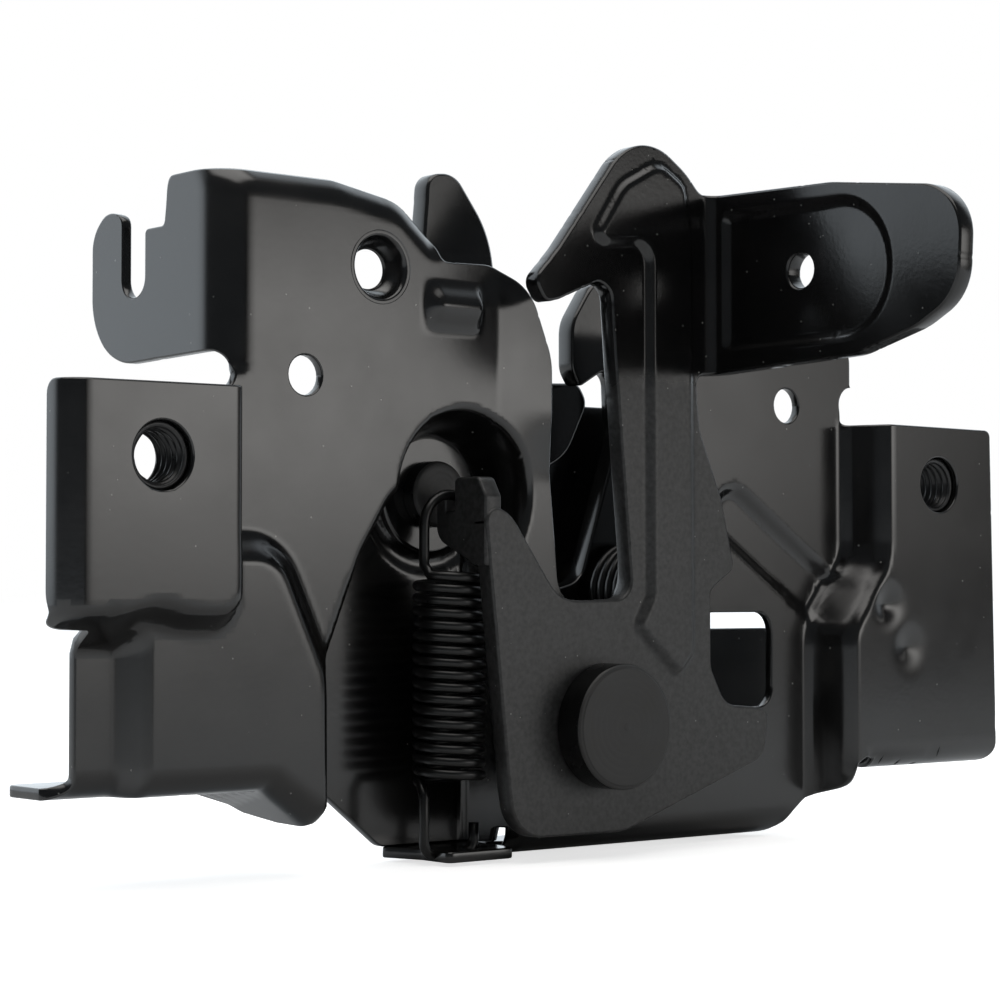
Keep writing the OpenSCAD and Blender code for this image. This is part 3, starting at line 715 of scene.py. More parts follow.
@dataclass
class BasePlate(Piece):
    """Pressed base plate with pads, apron, spring channel and cable bracket, sizes in millimetres.

    Attributes:
        cell: Spacing of the grid that lets the sheet bend, with closer bands in fine.
        pad_front: Y of the pads' front face, as for panel, apron, strip and channel floor below it.
        collar: Drawn collar as X, Z and the radius of its hole.
        lean: Panel beside the striker slot: X and Z from which it leans forward, and its slope.
        barrel: Raised barrel as first and last X, Z, radius and half its height.
        bead: Slanted bead as its two ends, half its width and its depth.
        roll: Rolled top edge as its radius and width.
        strip_at: X and Z of the corner of the apron's left strip.
        apron_wall: Width of the apron's sloping wall, as for channel, pocket and pads below it.
        groove: Ring pressed round the pawl's rivet as radius, half width and depth.
        pad_notch: Wave in the left pad's lower edge as X, height and width.
        dents: Dents of the right pad as X, Z and depth.
        shelf_hole: Hole for the spring's end as X, Y and radius.
    """

    node: str = "base_plate"
    slot: Slot = Slot.BLACK_COAT
    thickness: float = 1.6
    cell: float = 0.8
    pad_front: float = -1.6
    panel_front: float = 6.4
    apron_front: float = 3.9
    strip_front: float = 8.4
    floor_front: float = 15.4
    panel_half: float = 62.4
    left_end: float = -90.7
    right_end: float = 90.7
    fold_r: float = 3.6
    bracket_x: float = -62.0
    bracket_r: float = 5.6
    bracket_low: float = 12.7
    pad_hole_r: float = 4.6
    safety_hole_r: float = 5.05
    collar: Triple = (-34.9, 28.5, 2.85)
    collar_r: float = 5.0
    collar_depth: float = 3.4
    collar_lap: float = 0.35
    lean: Triple = (-13.0, 4.0, 0.14)
    barrel: tuple[float, ...] = (-26.0, -16.9, 23.7, 4.0, 0.9)
    bead: tuple[Pair, Pair, float, float] = ((36.0, -5.6), (57.0, -19.4), 3.9, 1.2)
    roll: Pair = (4.5, 3.8)
    strip_at: Pair = (-75.8, -24.0)
    apron_wall: float = 4.6
    apron_right: float = -44.0
    apron_low: float = -45.0
    apron_slant_x: float = -55.0
    skirt_top: float = -30.0
    flange_low: float = -56.6
    flange_from: float = -10.1
    flange_to: float = 48.5
    lip_low: float = -46.6
    lip_from: float = 59.0
    channel_wall: float = 5.4
    pocket_r: float = 10.3
    pocket_wall: float = 5.0
    groove: Triple = (10.2, 1.2, 0.5)
    boss_r: float = 8.9
    boss_h: float = 0.8
    pad_top: float = 12.4
    pad_low: float = -21.8
    pad_corner: float = 4.0
    left_pad_wall: float = 3.6
    right_pad_wall: float = 4.2
    pad_notch: Triple = (-76.5, 1.2, 4.0)
    dents: tuple[Triple, ...] = ((63.5, -20.0, 1.0), (68.6, -27.0, 0.6))
    dent_spread: float = 5.5
    shelf_z: float = -55.0
    shelf_hole: Triple = (-17.4, 6.9, 1.95)

    made: ClassVar[str] = "pressed"
    fine: ClassVar[tuple] = (
        (0, -41, -29, 0.45), (0, -29, -6, 0.55), (2, 22.5, 34.5, 0.45), (2, -16, 9, 0.55))
    window: ClassVar[Outline] = [(28, -36.2, 3), (44.4, -36.2, 3), (44.4, -21.1, 3), (28, -21.1, 3)]
    top_edge: ClassVar[Outline] = [(-58, 40.5, 0), (-42, 40.5, 10), (-30.6, 38.5, 8), (-24.8, 33.6, 0)]
    apron_draw: ClassVar[Outline] = [
        (-130, -12, 0), (-53.4, -12, 7), (-45, -30, 12), (-44, -80, 0), (-130, -80, 0)]
    channel_draw: ClassVar[Outline] = [
        (-44, -80, 0), (-10, -80, 0), (-10, -2, 5), (-30.5, -3, 8), (-37, -13, 10), (-44, -30, 8)]
    right_pad_draw: ClassVar[Outline] = [
        (62.4, 80, 0), (62.4, -12.5, 9), (54, -23.5, 9), (54, -99, 0), (199, -99, 0), (199, 80, 0)]

    def folds(self) -> dict[str, Fold]:
        """Lines along which the blank is folded to the rear."""
        t, r = self.thickness, self.fold_r
        return {
            "bracket": Fold((self.bracket_x + self.bracket_r, 0), (-1, 0), self.bracket_r, t),
            "pad_side": Fold((self.left_end + r, 0), (-1, 0), r, t),
            "apron": Fold((0, self.apron_low + r), (0, -1), r, t),
            "apron_slant": Fold((self.apron_slant_x + 0.6 * r, self.apron_low + 0.8 * r), (-0.6, -0.8), r, t),
            "right_flange": Fold((0, self.flange_low + r), (0, -1), r, t),
            "right_lip": Fold((0, self.lip_low + r), (0, -1), r, t),
        }

    def outline(self) -> Outline:
        """Corners of the flat blank, from the left pad downwards and round."""
        left, right = self.left_end - 2.4, self.right_end
        left_pad = [(left, 9.5, 2), (left, -22.6, 5.5), (-84.2, -22.9, 0.6)]
        apron = [(-83.4, -24.5, 0), (-83.4, -43, 1.5), (-86.7, -45.4, 0.6), (-86.7, -54.7, 2),
                 (-76.8, -54.7, 0), (-74.8, -59.2, 0), (-57, -59.2, 1.5), (-51.8, -55.2, 1),
                 (-47.6, -50.2, 0.5), (-44.2, -48.8, 1)]
        channel = [(-42.5, -46.8, 1), (-37.5, -47.4, 1.5), (-28, -55, 3), (-10.6, -55, 0.3)]
        flange = [(-10.4, -52.8, 0), (-9.8, -52.8, 0), (-9.6, -65.8, 1.5), (41, -65.8, 2), (43.4, -57.6, 1),
                  (54.8, -49.4, 3), (56.2, -45.6, 1), (58.2, -44.6, 0.3)]
        right_pad = [(60.2, -44.6, 0.3), (60.6, -49, 1.5), (right - 3, -49, 3.5), (right, -45, 4),
                     (right - 1.2, 9.6, 1.2)]
        notch = [(67, 9.7, 0.5), (60.6, 9.7, 0.8), (60.6, 16.1, 3), (63.2, 16.1, 0.3)]
        top = [(63.2, 24, 4), (12, 24, 4), (12, -20, 5), (-1, -20, 5), (-3.6, 6, 0), (-3.6, 17, 12),
               (-7.4, 27.4, 8), (-14.5, 30.4, 6), (-23.6, 30.2, 1.5), (-24.8, 33.6, 2.5), (-30.6, 38.5, 8),
               (-42, 40.5, 10)]
        bracket = [(-72, 40.5, 4), (-73, 33.6, 0.8), (-78, 33.6, 0.8), (-78, 24.05, 2.9), (-83.9, 24.05, 2.9),
                   (-83.9, 36, 1.8), (-88.3, 37.3, 4), (-92.3, 34, 5), (-92.3, 19, 10), (-84.3, 14.7, 12),
                   (-59.6, 15.3, 2.75), (-59.6, 9.7, 2.75)]
        return left_pad + apron + channel + flange + right_pad + notch + top + bracket

    def holes(self) -> list[list[Vector]]:
        """Holes of the flat blank."""
        locator_x, locator_r = LOCATORS["dims"]["spacing_x_mm"] / 2, LOCATORS["dims"]["hole_r_mm"]
        locator_z = across_and_up(LOCATORS["pos_m"])[1]
        pads = [circle(x, 0, self.pad_hole_r) for x in (-BOLT_X, BOLT_X)]
        locators = [circle(x, locator_z, locator_r) for x in (-locator_x, locator_x)]
        pivots = [circle(*SAFETY_AT, self.safety_hole_r), circle(*CLAW_AT, HELD_R), circle(*PAWL_AT, HELD_R)]
        return [rounded(self.window)] + pads + locators + [circle(*self.collar[:2], self.collar_r)] + pivots

    def panel(self, u: np.ndarray, v: np.ndarray) -> np.ndarray:
        """Depth of the main panel with its lean, barrel, bead and rolled top edge.

        Args:
            u: Points across the blank.
            v: Points up the blank.

        Returns:
            Y of the front face.
        """
        y = np.full(u.shape, self.panel_front)
        x, z, slope = self.lean
        y -= slope * np.clip(u - x, 0, None) * ramp(v - z, 12) * (u < 0)
        first, last, z, radius, rise = self.barrel
        ends = ramp(u - first, 3) * ramp(last - u, 1.2)
        y -= rise * ends * (1 + np.cos(np.clip(v - z, -radius, radius) * math.pi / radius))
        start, stop, half, deep = self.bead
        y += deep * ramp(half - to_line(u, v, start, stop), 2.2)
        edge = traced(self.top_edge)
        near = np.minimum.reduce([to_line(u, v, a, b) for a, b in zip(edge, edge[1:])])
        radius, width = self.roll
        return y + (radius - np.sqrt(radius ** 2 - np.clip(width - near, 0, width) ** 2))

    def depth(self, u: np.ndarray, v: np.ndarray) -> np.ndarray:
        """Depth of the pressed front face before the flanges are folded.

        Args:
            u: Points across the blank.
            v: Points up the blank.

        Returns:
            Y of the front face.
        """
        y = self.panel(u, v)
        # Apron with its strip, then the spring channel with the pawl's ring
        strip = ramp(self.strip_at[0] - u, 1.6) * ramp(self.strip_at[1] - v, 3)
        level = self.apron_front + (self.strip_front - self.apron_front) * strip
        y += (level - y) * ramp(inside(u, v, self.apron_draw) + 0.5, self.apron_wall)
        channel = ramp(inside(u, v, self.channel_draw) - 0.6, self.channel_wall)
        from_middle = np.hypot(u - PAWL_AT[0] - 0.5, v - PAWL_AT[1])
        pocket = ramp(self.pocket_r - from_middle, self.pocket_wall)
        y += (self.floor_front - y) * (1 - (1 - channel) * (1 - pocket))
        radius, half, deep = self.groove
        y += deep * ramp(half - np.abs(np.hypot(u - PAWL_AT[0], v - PAWL_AT[1]) - radius), 1.6)
        # Pads, drawn forward with a rounded lower corner
        x, high, wide = self.pad_notch
        low = self.pad_low + high * np.exp(-((u - x) / wide) ** 2)
        side, under = self.pad_corner - (-self.panel_half - u), self.pad_corner - (v - low)
        left_pad = (self.pad_corner - np.hypot(np.clip(side, 0, None), np.clip(under, 0, None))
                    - np.clip(np.maximum(side, under), None, 0))
        y += (self.pad_front - y) * ramp(left_pad, self.left_pad_wall) * (v < self.pad_top)
        right_pad = ramp(inside(u, v, self.right_pad_draw), self.right_pad_wall)
        y += (self.pad_front - y) * right_pad * ramp(self.pad_top - v, 2.5)
        for x, z, deep in self.dents:
            y += deep * np.exp(-((u - x) ** 2 + (v - z) ** 2) / self.dent_spread)
        return y

    def surface(self, u: np.ndarray, v: np.ndarray) -> np.ndarray:
        """Place in space of each point of the pressed and folded blank.

        Args:
            u: Points across the blank.
            v: Points up the blank.

        Returns:
            X, Y and Z of the front face.
        """
        folds = self.folds()
        slanted = folds["apron_slant"].reach(u, v) < folds["apron"].reach(u, v)
        skirt = (u < self.apron_right) & (v < self.skirt_top)
        where = {
            "bracket": ramp(v - self.bracket_low, 2.2),
            "pad_side": (v < self.pad_top) & (v > self.skirt_top),
            "apron": skirt & ~slanted,
            "apron_slant": skirt & slanted,
            "right_flange": (u > self.flange_from) * (1 - ramp(u - self.flange_to, 5)),
            "right_lip": u > self.lip_from,
        }
        flat_u, flat_v, out_u, out_v, rear = u.copy(), v.copy(), 0 * u, 0 * u, 0 * u
        for name, fold in folds.items():
            reach = np.clip(fold.reach(u, v), 0, None) * where[name]
            kept, back = fold.bend(reach)
            flat_u -= fold.out[0] * reach
            flat_v -= fold.out[1] * reach
            out_u += fold.out[0] * kept
            out_v += fold.out[1] * kept
            rear += back
        y = self.depth(flat_u, flat_v) + rear
        return np.stack([flat_u + out_u, y, flat_v + out_v], axis=1)

    def eyelet(self) -> Shape:
        """Makes the drawn collar round its hole, turned, its rim lapping the panel by a hair."""
        x, z, hole = self.collar
        face, rim = self.panel_front - 0.01, self.collar_r + self.collar_lap
        radii = np.linspace(rim, hole, 18)
        drawn = face + self.collar_depth * (1 - ramp(radii - hole - 1.0, 1.9))
        end, rear = drawn[-1] + 0.3, face + self.thickness
        tube = [(hole + 0.2, end), (hole + 1.1, end), (hole + 1.4, rear + 0.8), (rim, rear)]
        return turned(list(zip(radii.tolist(), drawn.tolist())) + tube, (x, z))

    def boss(self) -> Shape:
        """Makes the raised ring round the pawl's rivet, turned, standing in the channel's floor."""
        r, foot, top = self.boss_r, self.floor_front, self.floor_front - self.boss_h
        rear = self.floor_front + self.boss_h
        return turned([(HELD_R, rear), (r, rear), (r, foot), (r - 0.1, foot - 0.45), (r - 0.3, foot - 0.7),
                       (r - 0.55, top), (r - 0.7, top), (5.0, top), (HELD_R, top)], PAWL_AT)

    def shelf(self) -> Shape:
        """Makes the shelf under the spring as a flat level plate at the channel's foot."""
        corners = [(-25.2, 2.9, 1), (-13, 2.9, 1), (-11.4, 16.2, 0.5), (-27.4, 16.2, 0.5), (-25.2, 9.4, 0.6)]
        return Blank(self.thickness, 2.0).make(
            corners, [circle(*self.shelf_hole)],
            lambda u, v: np.stack([u, v, np.full(u.shape, self.shelf_z)], axis=1))

    def shape(self) -> Shape:
        """Makes the whole plate with its shelf, collar and ring."""
        blank = Blank(self.thickness, self.cell, fine=self.fine)
        plate = blank.make(self.outline(), self.holes(), self.surface)
        return joined([plate, self.shelf(), self.eyelet(), self.boss()])


@dataclass
class SafetyHook(Piece):
    """Safety hook: plate with rib and foot, handle folded forward and a spring tab, sizes in millimetres.

    Attributes:
        rib_wall: Width of the rib's sloping wall, as for the recess in the handle below it.
        handle_hole: Hole in the flat handle as u, v and radius.
    """

    node: str = "safety_hook"
    slot: Slot = Slot.BLACK_COAT
    body: str = "safety_lever"
    thickness: float = 3.0
    front: float = -1.6
    cell: float = 0.42
    edge: float = 0.35
    bend_r: float = 2.0
    handle_x: float = 23.0
    bend_low: float = 12.0
    handle_top: float = 43.4
    handle_low: float = 16.0
    tab_x: float = -21.9
    rib_h: float = 1.0
    rib_wall: float = 1.5
    recess_depth: float = 0.9
    recess_wall: float = 1.7
    pivot_r: float = 5.1
    handle_hole: Triple = (42.5, 30.2, 2.65)

    made: ClassVar[str] = "pressed"
    rib_edge: ClassVar[Outline] = [
        (-1.5, 35.2, 1.2), (4, 43.2, 6), (11.6, 47.2, 4), (16.8, 44.2, 3), (18.3, 36, 8), (18.6, -27, 2),
        (15.6, -30.4, 1.4), (7, -23, 1), (9.7, -18.4, 2), (9.6, 35.2, 3.2), (0.9, 34.2, 1.5)]
    recess_edge: ClassVar[Outline] = [(15, 39.7, 0), (60.6, 39.7, 10), (60.6, 19.6, 9.6), (15, 19.4, 0)]

    def outline(self) -> Outline:
        """Corners of the flat blank, from the hook's tip round by the foot and the handle."""
        tip = [(-12.8, 27.8, 2), (-10.6, 24.5, 1.6), (-7.9, 25.2, 1), (-0.2, 28.4, 1.5), (2.3, 27.2, 2.2),
               (3.1, 17, 0)]
        throat = [(6.5, -18.9, 3), (-8, -19, 6), (-17.2, -6.6, 6), (self.tab_x, -4.7, 2), (self.tab_x, -8, 0)]
        foot = [(-17.6, -46.2, 0), (-16.4, -53.4, 6), (4.8, -53.5, 12), (34.3, -43.6, 2.5), (35.6, -36, 2),
                (26, -35.2, 4), (22.9, -29.5, 3), (22.8, -17.6, 2), (28, -14.2, 1.5), (25.3, -3.6, 6),
                (20.6, 7, 10)]
        low, top = self.handle_low, self.handle_top
        handle = [(19.8, low - 0.6, 1.6), (54.3, low + 0.8, 12), (66.1, low + 4, 14), (73.7, low + 8, 8),
                  (74.3, top - 7, 7.5), (69.1, top - 3.4, 7.5), (49.3, top - 0.8, 20), (20.8, top, 2.5)]
        head = [(17.8, 46.4, 14), (9.6, 51.6, 8.8), (3.4, 47.2, 9), (-8, 32.8, 14)]
        return tip + throat + foot + handle + head

    def surface(self, u: np.ndarray, v: np.ndarray) -> np.ndarray:
        """Place in space of each point of the folded blank.

        Args:
            u: Points across the blank.
            v: Points up the blank.

        Returns:
            X, Y and Z of the front face, which turns to the left on the handle.
        """
        middle = self.bend_r + self.thickness / 2
        start = self.handle_x - self.bend_r
        reach = np.clip(u - start, 0, None) * ramp(v - self.bend_low, 6)
        turn = np.clip(reach / middle, 0, math.pi / 2)
        straight = np.clip(reach - middle * math.pi / 2, 0, None)
        x = u - reach + self.bend_r * np.sin(turn)
        y = self.front - self.bend_r * (1 - np.cos(turn)) - straight
        recess = ramp(inside(u, v, self.recess_edge), self.recess_wall)
        x += self.recess_depth * recess * ramp(straight - 0.9, 1.8)
        y -= self.rib_h * ramp(inside(u, v, self.rib_edge), self.rib_wall)
        return np.stack([x, y, v], axis=1)

    def tab(self) -> Shape:
        """Makes the notched tab that holds the spring, a flat plate standing to the rear at the plate's left
        edge.
        """
        y = self.front + 0.3
        corners = [(y, -14, 0), (y, -4, 1), (0.4, -1.2, 1), (5.9, -1.2, 0.8), (5.9, -6.2, 0.4),
                   (7.9, -6.2, 0.4), (7.9, -3, 0.6), (10.1, -3.2, 1), (10.1, -10, 3), (1.4, -14, 0)]
        corners = [(-u, v, r) for u, v, r in reversed(corners)]
        return Blank(self.thickness, 1.0, self.edge).make(
            corners, [], lambda u, v: np.stack([np.full(u.shape, self.tab_x), -u, v], axis=1))

    def shape(self) -> Shape:
        """Makes the plate with its handle and tab."""
        holes = [circle(*SAFETY_AT, self.pivot_r), circle(*self.handle_hole)]
        plate = Blank(self.thickness, self.cell, self.edge).make(self.outline(), holes, self.surface)
        return joined([plate, self.tab()])


def wire(path: list[Vector], diameter: float, sides: int = 14) -> Shape:
    """Draws round wire along a path.

    Args:
        path: Points of the wire's middle, in millimetres.
        diameter: Thickness of the wire.
        sides: Sides of its section.

    Returns:
        The closed wire.
    """
    shape = bmesh.new()
    along = [(b - a).normalized() for a, b in zip(path, path[1:])]
    facing = [along[0]] + [(a + b).normalized() for a, b in zip(along, along[1:])] + [along[-1]]
    place = Matrix.Translation(path[0]) @ facing[0].to_track_quat("Z", "X").to_matrix().to_4x4()
    verts = bmesh.ops.create_circle(shape, cap_ends=True, segments=sides, radius=diameter / 2,
                                    matrix=place)["verts"]
    ring = list({edge for vert in verts for edge in vert.link_edges})
    for i in range(1, len(path)):
        made = bmesh.ops.extrude_edge_only(shape, edges=ring)["geom"]
        verts = of_kind(made, Vert)
        turn = facing[i - 1].rotation_difference(facing[i])
        for vert in verts:
            vert.co = path[i] + turn @ (vert.co - path[i - 1])
        fresh = set(verts)
        ring = [edge for edge in of_kind(made, Edge) if fresh.issuperset(edge.verts)]
    bmesh.ops.holes_fill(shape, edges=ring, sides=0)
    bmesh.ops.recalc_face_normals(shape, faces=shape.faces)
    return shape


def arc(centre: Vector, side: Vector, up: Vector, start: float, stop: float) -> list[Vector]:
    """Points of an arc, from one angle to another in degrees, side and up giving its radius and plane."""
    count = max(2, math.ceil(abs(stop - start) / 12))
    angles = (math.radians(start + (stop - start) * k / count) for k in range(count + 1))
    return [centre + side * math.cos(a) + up * math.sin(a) for a in angles]


@dataclass
class SafetySpring(Piece):
    """Extension spring between the safety hook's tab and the shelf, sizes in millimetres.

    Attributes:
        at: X and Y of its axis.
        top: Z of the coil's upper end, as bottom is of its lower end.
        loop_z: Z of the upper loop's middle.
        neck_step: Spacing of the points between loop and coil.
        bow_z: Z of the middle of the lower bow's corners.
        end_z: Z of the wire's lower end.
        grip: Length of coil at each end that keeps with its body; not used.
    """

    node: str = "safety_spring"
    slot: Slot = Slot.WIRE
    at: Pair = (-22.0, 6.9)
    mean_r: float = 4.6
    wire_d: float = 1.5
    turns: int = 17
    turn_steps: int = 26
    top: float = -15.3
    bottom: float = -45.4
    loop_z: float = -8.25
    neck_step: float = 1.4
    bow_z: float = -53.78
    bow_r: float = 2.0
    end_z: float = -51.4
    grip: float = 2.0

    made: ClassVar[str] = "coiled"

    def path(self) -> list[Vector]:
        """Middle of the wire: hooked loop above, close coil, flat bow below."""
        x, y = self.at
        left, right = x - self.mean_r, x + self.mean_r
        side, up = Vector((self.mean_r, 0, 0)), Vector((0, 0, self.mean_r))
        points = arc(Vector((x, y, self.loop_z)), side, up, 12, 180)
        points += [Vector((left, y, self.loop_z - k * self.neck_step)) for k in range(1, 5)]
        steps = self.turns * self.turn_steps
        for k in range(1, steps):
            turn = math.pi + 2 * math.pi * k / self.turn_steps
            ease = min(1.0, min(k, steps - k) / (self.turn_steps / 2))
            drop = self.top + (self.bottom - self.top) * k / steps
            reach = self.mean_r * (0.97 + 0.03 * ease)
            points.append(Vector((x + reach * math.cos(turn), y + reach * math.sin(turn), drop)))
        side, up = Vector((self.bow_r, 0, 0)), Vector((0, 0, self.bow_r))
        points += [Vector((left, y, self.bottom - 2)), Vector((left, y, self.bow_z + 2))]
        points += arc(Vector((left + self.bow_r, y, self.bow_z)), side, up, 180, 270)
        points += arc(Vector((right - self.bow_r, y, self.bow_z)), side, up, 270, 360)
        points.append(Vector((right, y, self.end_z)))
        return points

    def shape(self) -> Shape:
        """Makes the wire."""
        return wire(self.path(), self.wire_d)

    def tie(self, piece: Object) -> None:
        """Bakes the spring's placement into its mesh and ties it to no body."""
        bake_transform(piece)


@dataclass(frozen=True)
class TorsionSpring(Piece):
    """Torsion spring round a pivot along Y, sizes in millimetres.

    Attributes:
        at: Pivot in X and Z.
        span: First and last Y of the coil's middle.
        legs: Length of the first and of the last leg.
    """

    node: str
    at: Pair
    mean_r: float
    span: Pair
    turns: int
    legs: Pair
    wire_d: float = 1.6
    turn_steps: int = 30
    slot: Slot = Slot.WIRE

    made: ClassVar[str] = "coiled"

    def shape(self) -> Shape:
        """Makes the wire: coil with a leg at each end."""
        x, z = self.at
        steps = self.turns * self.turn_steps
        coil = []
        for k in range(steps + 1):
            turn = 2 * math.pi * k / self.turn_steps
            y = self.span[0] + (self.span[1] - self.span[0]) * k / steps
            coil.append(Vector((x + self.mean_r * math.cos(turn), y, z + self.mean_r * math.sin(turn))))
        first = coil[0] - Vector((0, 0, self.legs[0]))
        last = coil[-1] + (coil[-1] - coil[-2]).normalized() * self.legs[1]
        return wire([first] + coil + [last], self.wire_d)


TORSION_SPRINGS = (
    TorsionSpring("hook_spring", CLAW_AT, 7.3, (9.0, 16.0), 4, (12, 10)),
    TorsionSpring("lifter_spring", PAWL_AT, 5.3, (27.0, 31.0), 2, (8, 14)),
)


def turned(profile: list[Pair], at: Pair, steps: int = 72) -> Shape:
    """Turns a closed profile about a pivot along Y.

    Args:
        profile: Corners as (radius, y), in millimetres; the ends lie on the axis or the profile is a ring.
        at: Pivot in X and Z.
        steps: Steps of the full turn.

    Returns:
        The closed turned part.
    """
    shape = bmesh.new()
    verts = [shape.verts.new((at[0] + radius, y, at[1])) for radius, y in profile]
    pairs = list(zip(verts, verts[1:]))
    if profile[0][0] > 0:
        pairs.append((verts[-1], verts[0]))
    edges = [shape.edges.new(pair) for pair in pairs]
    bmesh.ops.spin(shape, geom=verts + edges, cent=(at[0], 0, at[1]), axis=(0, 1, 0), angle=2 * math.pi,
                   steps=steps, use_merge=True)
    bmesh.ops.remove_doubles(shape, verts=shape.verts, dist=1e-4)
    bmesh.ops.recalc_face_normals(shape, faces=shape.faces)
    return shape


def softened(corners: tuple[Pair, ...], edge: float) -> list[Pair]:
    """Cuts each corner of a turned profile by a small chamfer, apart from the ends on the axis.

    Args:
        corners: Profile as (radius, y).
        edge: Length that the chamfer takes off each side.

    Returns:
        The profile with its chamfers.
    """
    points = []
    for i, (radius, y) in enumerate(corners):
        if radius <= 0:
            points.append((radius, y))
            continue
        here = Vector((radius, y))
        sides = [Vector(corners[k % len(corners)]) - here for k in (i - 1, i + 1)]
        cut = min([edge] + [side.length / 3 for side in sides])
        points += [tuple(here + side.normalized() * cut) for side in sides]
    return points


@dataclass(frozen=True)
class TurnedPart(Piece):
    """Rivet, spacer, washer or stud, turned about a pivot along Y, sizes in millimetres.

    Attributes:
        at: Pivot in X and Z.
        corners: Profile as (radius, y).
        edge: Chamfer of its corners.
    """

    node: str
    at: Pair
    corners: tuple[Pair, ...]
    slot: Slot = Slot.ZINC
    edge: float = 0.25

    made: ClassVar[str] = "turned"
    chamfered: ClassVar[bool] = True

    def shape(self) -> Shape:
        """Makes the turned part."""
        return turned(softened(self.corners, self.edge), self.at)

    def dress(self, piece: Object) -> None:
        """Gives the sides of a coated rivet a darker gloss copy of the coat, whose darker colour is painted
        shade.
        """
        if self.slot is Slot.RIVET:
            piece.data.materials.append(SHADED_RIVET_SIDE.material())
            # Faces that don't look front or back take the copy with painted shade
            for face in piece.data.polygons:
                face.material_index = 0 if abs(face.normal.y) > 0.5 else 1


def ring_section(inner: float, outer: float, front: float, rear: float) -> tuple[Pair, ...]:
    """Profile of a washer or spacer, as (radius, y)."""
    return (inner, front), (outer, front), (outer, rear), (inner, rear)


def rings(radius: float, face: float, depth: float, count: int) -> tuple[Pair, ...]:
    """Turning rings on a flat head, from the centre outwards."""
    points = [(0.0, face - 0.05), (0.45, face - 0.05), (0.6, face + 0.02)]
    for k in range(count):
        inner = 1.4 + (radius - 1.9) * k / count
        points += [(inner, face), (inner + 0.16, face + depth), (inner + 0.42, face + depth),
                   (inner + 0.58, face)]
    return tuple(points)


TURNED_PARTS = (
    TurnedPart("safety_rivet", SAFETY_AT, rings(8.4, -6.8, 0.018, 6) + (
        (8.55, -6.8), (8.7, -6.62), (8.95, -6.62), (9.25, -6.2), (9.25, -1.8), (5, -1.8), (5, 8), (7, 8),
        (7, 9.4), (5.8, 10), (0.0, 10)), Slot.RIVET, 0.1),
    TurnedPart("safety_washer", SAFETY_AT, ring_section(5.05, 8, 1.5, 2.1), edge=0.1),
    TurnedPart("safety_spacer", SAFETY_AT, ring_section(5.05, 8, 2.1, 6.4)),
    TurnedPart("hook_rivet", CLAW_AT, (
        (0.0, 4.8), (5.2, 4.8), (6, 5.5), (6, 6.4), (4, 6.4), (4, 26), (6, 26), (6, 27.3), (5.1, 28),
        (0.0, 28)), edge=0.15),
    TurnedPart("hook_spacer", CLAW_AT, ring_section(HELD_R, 6, 8, 17.3)),
    TurnedPart("hook_washer", CLAW_AT, ring_section(HELD_R, 5.2, 21, 24.4), edge=0.15),
    TurnedPart("pawl_rivet", PAWL_AT, rings(4.4, 11.8, 0.02, 3) + (
        (4.5, 11.85), (4.9, 12.4), (4.9, 14.6), (4, 14.6), (4, 32), (6.5, 32), (6.5, 33.2), (5.6, 33.8),
        (0.0, 33.8)), Slot.RIVET, 0.1),
    TurnedPart("pawl_washer", PAWL_AT, ring_section(HELD_R, 7, 21, 21.6), edge=0.1),
    TurnedPart("cover_stud", (42.0, -45.5), ring_section(0.0, 3.5, 8, 24.4)),
)


@dataclass(frozen=True)
class WeldNut(Piece):
    """Hexagon weld nut with an M8 thread, behind a pad, sizes in millimetres.

    Attributes:
        x: Bolt axis across the latch.
        flat: Width across the flats.
        lead: Length over which the thread starts and ends.
        collar: Length of the collar in the pad hole.
    """

    node: str
    x: float
    height: float = 6.5
    flat: float = 14.0
    core_r: float = BOLTS["dims"]["hole_r_mm"]
    thread_r: float = 4.0
    pitch: float = 1.25
    lead: float = 0.5
    collar_r: float = 4.5
    collar: float = 0.6
    slot: Slot = Slot.NUT

    made: ClassVar[str] = "threaded"
    chamfered: ClassVar[bool] = True

    def profile(self) -> list[Pair]:
        """Half section: plain bore in fine steps, collar in the pad hole, chamfered round blank."""
        half, low, high = self.flat / 2, -self.collar, self.height
        count = round((high - low) / 0.16)
        bore = [(self.core_r, high + (low - high) * k / count) for k in range(count + 1)]
        collar = [(self.collar_r - 0.2, low), (self.collar_r, low + 0.2), (self.collar_r, 0.01)]
        outside = [(half - 0.2, 0.01), (half + 0.6, 0.7), (half + 0.6, high - 0.7), (half - 0.2, high)]
        return bore + collar + outside

    def shape(self) -> Shape:
        """Makes the nut: turned, then its bore threaded and its outside cut to a hexagon."""
        shape = turned(self.profile(), (self.x, 0.0))
        for vert in shape.verts:
            x, y, z = vert.co.x - self.x, vert.co.y, vert.co.z
            radius, turn = math.hypot(x, z), math.atan2(z, x)
            if radius < self.core_r + 0.01:
                wave = abs(((y / self.pitch - turn / (2 * math.pi)) % 1.0) * 2 - 1)
                lead = min(1.0, (y + self.collar) / self.lead, (self.height - y) / self.lead)
                deep = max(min(wave * 1.3, 1.0) * lead, 1 - lead)
                wanted = self.core_r + (self.thread_r - self.core_r) * deep
            elif radius > self.flat / 2 + 0.4:
                wanted = self.flat / 2 / math.cos((turn % (math.pi / 3)) - math.pi / 6)
            else:
                continue
            vert.co.x, vert.co.z = self.x + x * wanted / radius, z * wanted / radius
        return shape


